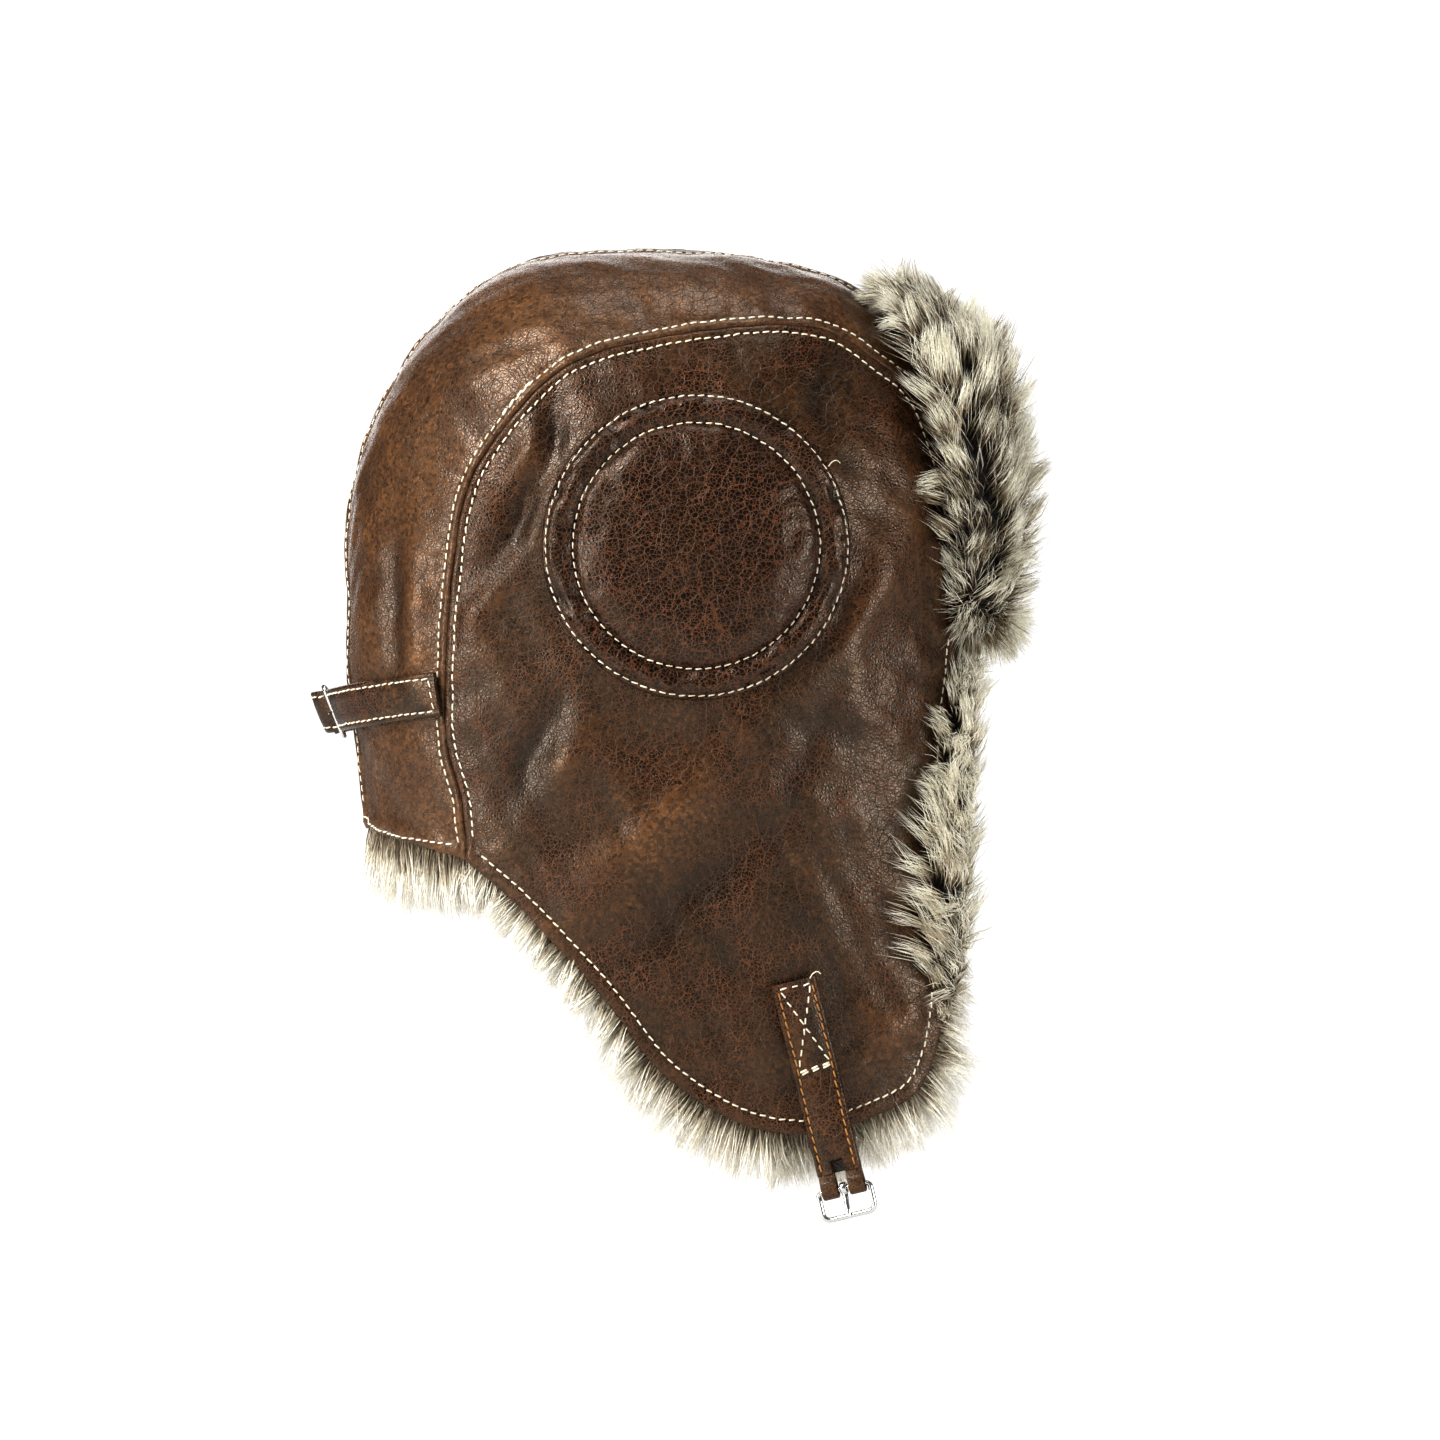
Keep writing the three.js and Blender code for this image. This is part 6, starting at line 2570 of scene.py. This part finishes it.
    def row(self, places: list[tuple[float, float]], side: Side, count: int = 60) -> tuple[Array, Array]:
        """A line of stitches on the strap's face through places given along and across it.

        Args:
            places: Its corners.
            side: The side of the hat.
            count: How many points it gets.

        Returns:
            The points and the outward directions.
        """
        along, across = spaced(np.array(places, float), count).T
        points = self.point(along, across, MAKE.thick + 0.1, side)
        return points, unit(points - self.point(along, across, MAKE.thick - 1.0, side))

    def stitching(self, side: Side) -> tuple[list[Surface], list[Surface]]:
        """The crossed box where the strap is sewn on, and the rows along its edges.

        Args:
            side: The side of the hat.

        Returns:
            The cream stitches and the tan ones.
        """
        edge = MAKE.stitch
        short = edge - 0.6
        box = [
            (STITCHES, (1.6, -edge), (2.4, edge), 0),
            (STITCHES, (2.4, -short), (30.8, short), 1),
            (STITCHES, (2.4, short), (30.8, -short), 2),
            (HEAVY_STITCHES, (32.2, -edge), (31.2, edge), 4),
            (HEAVY_STITCHES, (32.9, -edge + 0.5), (32.0, edge), 5),
        ]
        cream = [kind.sewn(*self.row([start, end], side), seed) for kind, start, end, seed in box]
        end = self.length - (7 if side is Side.RIGHT else 11)
        rows = [[(2.5, hand * edge), (end, hand * edge)] for hand in (-1, 1)]
        tan = [STITCHES.sewn(*self.row(places, side, 120), 6) for places in rows]
        return cream, tan

    def build(self, finishes: Finishes) -> None:
        """Makes both straps, the buckle and its prong.

        Args:
            finishes: The hat's materials.
        """
        for side, strap in (("right", self.right()), ("left", self.left())):
            name = f"chin_strap_{side}"
            add_piece(f"{name}_leather", strap, finishes.shell, Slot.LEATHER, name)
        add_piece("chin_strap_eyelets", self.hole_shades(), finishes.shell, Slot.LEATHER)
        stand = self.stance()
        for body, wire in ((Body.CHIN_BUCKLE, BUCKLE.frame(stand)), (Body.CHIN_PRONG, BUCKLE.prong(stand))):
            add_piece(f"{body.value}_wire", wire, finishes.steel, Slot.METAL, body.value, body=body)


@dataclass(frozen=True)
class BackStraps:
    """The back strap: the left half carries the buckle and the right half's tongue runs through it."""

    seam_y: float = 68.0
    seam_z: float = -27.0
    middle_z: float = -32.0
    lift: float = 1.2
    loose: float = 1.7
    stand: float = 2.1
    tilt: float = 15.0
    heel_y: float = 6.0
    fork: float = 5.5
    tuck: float = 2.6
    taper_y: float = 23.0
    taper: float = 8.5
    tongue_half: float = 7.8
    tongue_thick: float = 2.0

    def share(self, y: Array) -> Array:
        """How loose the strap is: 1 in the middle and 0 where it is sewn on."""
        return 1 - smoothstep(np.abs(y), 8, 62)

    def point(self, y: Array, across: Array, height: Array) -> Array:
        """Points of a back strap.

        Args:
            y: Place from right to left.
            across: Place across its width.
            height: Distance from its lie on the crown.

        Returns:
            The points.
        """
        y, across, height = np.broadcast_arrays(y, across, height)
        share = self.share(y)
        tilt = np.radians(self.tilt) * share
        z = self.middle_z + (self.seam_z - self.middle_z) * (y / self.seam_y) ** 2 + across * np.cos(tilt)
        base = np.stack([FORM.reach(y, z, False), y, z], axis=-1)
        lift = self.lift + self.loose * share + np.maximum(0, FORM.folds(base[..., 0], z))
        lean = across * np.sin(tilt)
        rise = lift + height + lean * share + np.abs(lean) * (1 - share)
        normal = FORM.normal(base.reshape(-1, 3)).reshape(base.shape)
        return base + normal * rise[..., None]

    def left_stand(self, y: Array) -> Array:
        """How far the left half stands out on its way to the buckle."""
        return self.stand * self.share(y)

    def tongue_rise(self, y: Array) -> Array:
        """Height of the tongue's back: under the end bar, up through the frame and on to the left half.

        Args:
            y: Places from right to left.

        Returns:
            The height at each place.
        """
        places = np.array([-68, -56, -42, -28, -16, -9, -2.8, 2, 6, 11, 18, 25, 31])
        rises = np.array([0, 0, 0.3, 0.6, 0.2, -2.4, -2.4, 3.4, 5.4, 4.5, 3.6, 3.6, 3.6])
        return cubic(places, rises, y)

    def stance(self) -> Stance:
        """The stance on the left half's end, with the end bar to the wearer's right.

        Returns:
            The stance of the fastened buckle.
        """
        y = np.full(3, self.heel_y)
        rise = np.array([self.left_stand(y[0]) + MAKE.thick / 2, 0.0, 0.0])
        heel, top, bottom = self.point(y, np.array([0.0, 5.0, -5.0]), rise)
        up = unit((top - bottom) * [1, 0, 1])
        return Stance(heel, -LEFTWARDS, np.array([-up[2], 0.0, up[0]]))

    def left(self) -> Surface:
        """The left half with its fingers round the heel bar.

        Returns:
            The half as one mesh.
        """
        section, black = MAKE.section(MAKE.half, MAKE.thick)
        across, rise = section.T
        y = np.linspace(self.seam_y + self.tuck, self.heel_y + self.fork, 74)[:, None]
        body = MAKE.strip(self.point(y, across, self.left_stand(y) + rise), black)
        return Surface.merged([body, *MAKE.fingers(self.stance())])

    def right(self) -> Surface:
        """The right half, a tongue with a rounded end.

        Returns:
            The half's mesh.
        """
        section, black = MAKE.section(self.tongue_half, self.tongue_thick)
        across, rise = section.T
        even = np.linspace(-self.seam_y - self.tuck, self.taper_y, 114)
        tip = np.linspace(self.taper_y + 0.5, self.taper_y + self.taper, 16)
        y = np.concatenate([even, tip])[:, None]
        width = MAKE.rounded(np.clip((y - self.taper_y) / self.taper, 0, 1), 2.4)
        low = self.left_stand(y) + self.tongue_rise(y)
        return MAKE.strip(self.point(y, across * width, low + rise), black)

    def row(self, places: list[tuple[float, float]], tongue: bool, count: int = 80) -> tuple[Array, Array]:
        """A line of stitches on a half's face.

        Args:
            places: Its corners, each a place from right to left and one across.
            tongue: Whether it is on the right half.
            count: How many points it gets.

        Returns:
            The points and the outward directions.
        """
        y, across = spaced(np.array(places, float), count).T
        face = self.tongue_rise(y) + self.tongue_thick if tongue else MAKE.thick
        rise = self.left_stand(y) + face
        points = self.point(y, across, rise + 0.1)
        return points, unit(points - self.point(y, across, rise - 1.0))

    def stitching(self) -> list[Surface]:
        """Rows along the edges of both halves and across their sewn ends.

        Returns:
            The rows of stitches.
        """
        edge = MAKE.stitch
        tip = edge - 0.45
        end = self.seam_y + self.tuck - 1.2
        rows = [self.row([(end, hand * edge), (13, hand * edge)], False) for hand in (-1, 1)]
        rows += [self.row([(-end, hand * tip), (self.taper_y, hand * tip)], True) for hand in (-1, 1)]
        rows.append(self.row([(end, -edge), (end, edge)], False))
        rows.append(self.row([(-end, -tip), (-end, tip)], True))
        return [STITCHES.sewn(*row, number) for number, row in enumerate(rows)]

    def build(self, finishes: Finishes) -> None:
        """Makes both halves, the buckle and its prong.

        Args:
            finishes: The hat's materials.
        """
        for side, half in (("left", self.left()), ("right", self.right())):
            name = f"back_strap_{side}"
            add_piece(f"{name}_leather", half, finishes.shell, Slot.LEATHER, name)
        stand = self.stance()
        for name, wire in (("back_buckle", BUCKLE.frame(stand)), ("back_prong", BUCKLE.prong(stand))):
            add_piece(f"{name}_wire", wire, finishes.steel, Slot.METAL, name)


# All stitching.


@dataclass(frozen=True)
class Stitching:
    """The topstitches of the whole hat, in cream thread on the panels and tan thread along the straps."""

    patches: EarPatches
    chin: ChinStraps
    back: BackStraps

    def panel_lines(self, side: Side) -> list[tuple[Array, Array]]:
        """Lines of stitches on the panels of one side.

        There is one line on each side of the side seam, one by the middle seam, one along the hem and one
        along the nape.

        Args:
            side: The side of the hat.

        Returns:
            Each line's points and outward directions.
        """
        seam, hem = PATTERN.seam, PATTERN.hem
        lines = [on_leather(offset_line(seam, RELIEF.stitch)[8:-6], side)]
        lines.append(on_leather(offset_line(seam, -RELIEF.stitch)[6:-8], side))
        lines.append(on_leather(offset_line(hem, -RELIEF.hem_stitch)[3:-8], side))
        middle = PATTERN.middle(420)[6:-8]
        off = np.full(len(middle), side.value * RELIEF.ridge_stitch)
        lines.append(lifted(np.stack([middle[:, 0], off, middle[:, 1]], axis=1)))
        share = np.linspace(0.06, 0.96, 60)
        z = np.interp(share, [0, 1], PATTERN.nape()[[0, -1], 1]) + RELIEF.hem_stitch
        y = side.value * share * FORM.half_width(SEAM[-1:, 0], SEAM[-1:, 1])[0]
        lines.append(lifted(np.stack([FORM.reach(y, z, False), y, z], axis=1)))
        return lines

    def doubled(self) -> Surface:
        """A stretch of the seam's upper row on the right that was sewn twice in thicker thread.

        Returns:
            The stitches.
        """
        line = offset_line(PATTERN.seam, RELIEF.stitch + 0.3)
        near = (line[:, 0] > -53) & (line[:, 0] < -41) & (line[:, 1] > 60)
        points, normal = on_leather(line[near], Side.RIGHT)
        return HEAVY_STITCHES.sewn(points + 0.25 * normal, normal, 9)

    def loose_ends(self) -> list[Surface]:
        """Two short loose ends of thread, on the patch and at the top of the chin strap.

        Returns:
            The two threads.
        """
        made = []
        for flat, drop in (
            (np.array([[63.2, 53.8], [64.6, 55.4], [66.2, 55.9], [67.6, 55.1]]), 0.7),
            (np.array([[56.4, -127.4], [57.4, -125.6], [58.9, -124.9], [60.2, -125.8]]), 4.4),
        ):
            line = smooth_path(flat, 16)
            points, normal = on_leather(line, Side.RIGHT)
            height = drop + 0.9 * np.sin(np.linspace(0.2, 2.6, 16))
            path = points + normal * height[:, None]
            ahead = tangents(path)
            side = np.cross(ahead, normal)
            made.append(tube(carried(path, side, np.cross(ahead, side), circle(0.22, 6))))
        return made

    def build(self, finishes: Finishes) -> None:
        """Makes the stitches as a few pieces.

        Args:
            finishes: The hat's materials.
        """
        for side in Side:
            label = side.name.lower()
            lines = self.panel_lines(side)
            panels = [STITCHES.sewn(points, normal, number) for number, (points, normal) in enumerate(lines)]
            if side is Side.RIGHT:
                panels += [self.doubled(), *self.loose_ends()]
            cream, tan = self.chin.stitching(side)
            pads = self.patches.stitching(side)
            for name, parts, finish in (
                (f"panel_stitches_{label}", panels, finishes.cream_thread),
                (f"patch_stitches_{label}", pads, finishes.cream_thread),
                (f"chin_box_stitches_{label}", cream, finishes.cream_thread),
                (f"chin_edge_stitches_{label}", tan, finishes.tan_thread),
            ):
                for part in parts:
                    part.uv = None
                add_piece(name, Surface.merged(parts), finish, Slot.LEATHER)
        rows = Surface.merged(self.back.stitching())
        add_piece("back_strap_stitches", rows, finishes.cream_thread, Slot.LEATHER)


# The studio.


@dataclass(frozen=True)
class Studio:
    """A white surround, a pale floor, large soft lamps and the camera at the photograph's angle."""

    distance: float = 6.0
    centre_x: float = 0.0252
    centre_z: float = -0.036
    frame_width: float = 0.5184
    sensor: float = 36.0
    floor_z: float = -0.3
    floor_radius: float = 3.0

    def camera(self) -> None:
        """A long lens square to the hat's right side, as in the photograph."""
        data = bpy.data.cameras.new("camera")
        data.sensor_width = self.sensor
        data.lens = self.sensor * self.distance / self.frame_width
        data.clip_start, data.clip_end = 0.1, 40.0
        camera = bpy.data.objects.new("camera", data)
        camera.location = (self.centre_x, -self.distance, self.centre_z)
        camera.rotation_euler = (math.pi / 2, 0, 0)
        bpy.context.scene.collection.objects.link(camera)
        bpy.context.scene.camera = camera

    def floor(self) -> None:
        """A pale disc under the hat, which glows to the camera so that it runs into the surround."""
        material, sheet = fresh_material("pale_floor")
        tone = sheet.scaled(sheet.noise(sheet.place(), 0.4, 2.0, 0.5), 0.3, 0.7, 0.985, 1.0)
        colour = sheet.blend(1.0, (0.9, 0.9, 0.89, 1.0), tone, "MULTIPLY")
        shader = sheet.add("ShaderNodeBsdfPrincipled", {"Base Color": colour, "Roughness": 0.8})
        glow = sheet.add("ShaderNodeEmission", {"Color": (1.0, 1.0, 1.0, 1.0), "Strength": 1.06})
        seen = sheet.times(sheet.add("ShaderNodeLightPath").outputs["Is Camera Ray"], 0.94)
        both = sheet.add("ShaderNodeMixShader", {0: seen, 1: shader.outputs[0], 2: glow.outputs[0]})
        sheet.add("ShaderNodeOutputMaterial", {0: both.outputs[0]})
        rim = np.column_stack([circle(self.floor_radius, 96), np.full(96, self.floor_z)])
        mesh = bpy.data.meshes.new("floor")
        mesh.from_pydata(rim.tolist(), [], [list(range(96))])
        mesh.materials.append(material)
        floor = bpy.data.objects.new("floor", mesh)
        bpy.context.scene.collection.objects.link(floor)

    def lamp(self, name: str, place: tuple[float, float, float], size: float, power: float) -> None:
        """A square soft lamp aimed at the hat.

        Args:
            name: Its name.
            place: Where it stands.
            size: Length of its side.
            power: Its power in watts.
        """
        data = bpy.data.lights.new(name, "AREA")
        data.size = size
        data.energy = power
        lamp = bpy.data.objects.new(name, data)
        lamp.location = place
        aim = Vector((0.0, 0.0, -0.03)) - Vector(place)
        lamp.rotation_euler = aim.to_track_quat("-Z", "Y").to_euler()
        bpy.context.scene.collection.objects.link(lamp)

    def surround(self) -> None:
        """A white surround, brighter to the camera than to the hat."""
        world = bpy.data.worlds.new("surround")
        world.use_nodes = True
        sheet = NodeSheet(world.node_tree)
        path = sheet.add("ShaderNodeLightPath").outputs["Is Camera Ray"]
        strength = sheet.scaled(path, 0.0, 1.0, 0.14, 1.05)
        back = sheet.add("ShaderNodeBackground", {"Color": (1.0, 1.0, 1.0, 1.0), "Strength": strength})
        sheet.add("ShaderNodeOutputWorld", {0: back.outputs[0]})
        bpy.context.scene.world = world
        settings = bpy.context.scene.view_settings
        settings.view_transform = "Standard"
        settings.gamma = 0.8
        settings.exposure = 0.12

    def build(self) -> None:
        """Sets up the whole studio."""
        self.camera()
        self.floor()
        self.surround()
        for name, place, size, power in (
            ("key", (-1.5, -1.2, 1.7), 0.8, 58.0),
            ("left", (-2.1, -1.3, 0.2), 0.7, 28.0),
            ("right", (2.0, -1.3, 0.15), 0.8, 26.0),
            ("top", (0.1, 0.1, 2.1), 0.9, 12.0),
            ("behind", (-0.2, 1.8, 0.6), 1.2, 12.0),
        ):
            self.lamp(name, place, size, power)


def corners(box: tuple[Vector, Vector]) -> list[list[float]]:
    """A box's two corners as plain lists."""
    return [[float(value) for value in corner] for corner in box]


def main() -> None:
    """Builds the studio and every sub-assembly."""
    logging.basicConfig(level=logging.INFO, format="%(name)s: %(message)s")
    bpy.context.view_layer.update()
    Studio().build()
    finishes = Finishes.made()
    patches, chin, back = EarPatches(), ChinStraps(), BackStraps()
    for part in (CrownPanels(), SidePanels(), patches, Lining(), Visor(), chin, back):
        part.build(finishes)
        log.info("%s done", type(part).__name__)
    Stitching(patches, chin, back).build(finishes)


if __name__ == "__main__":
    main()
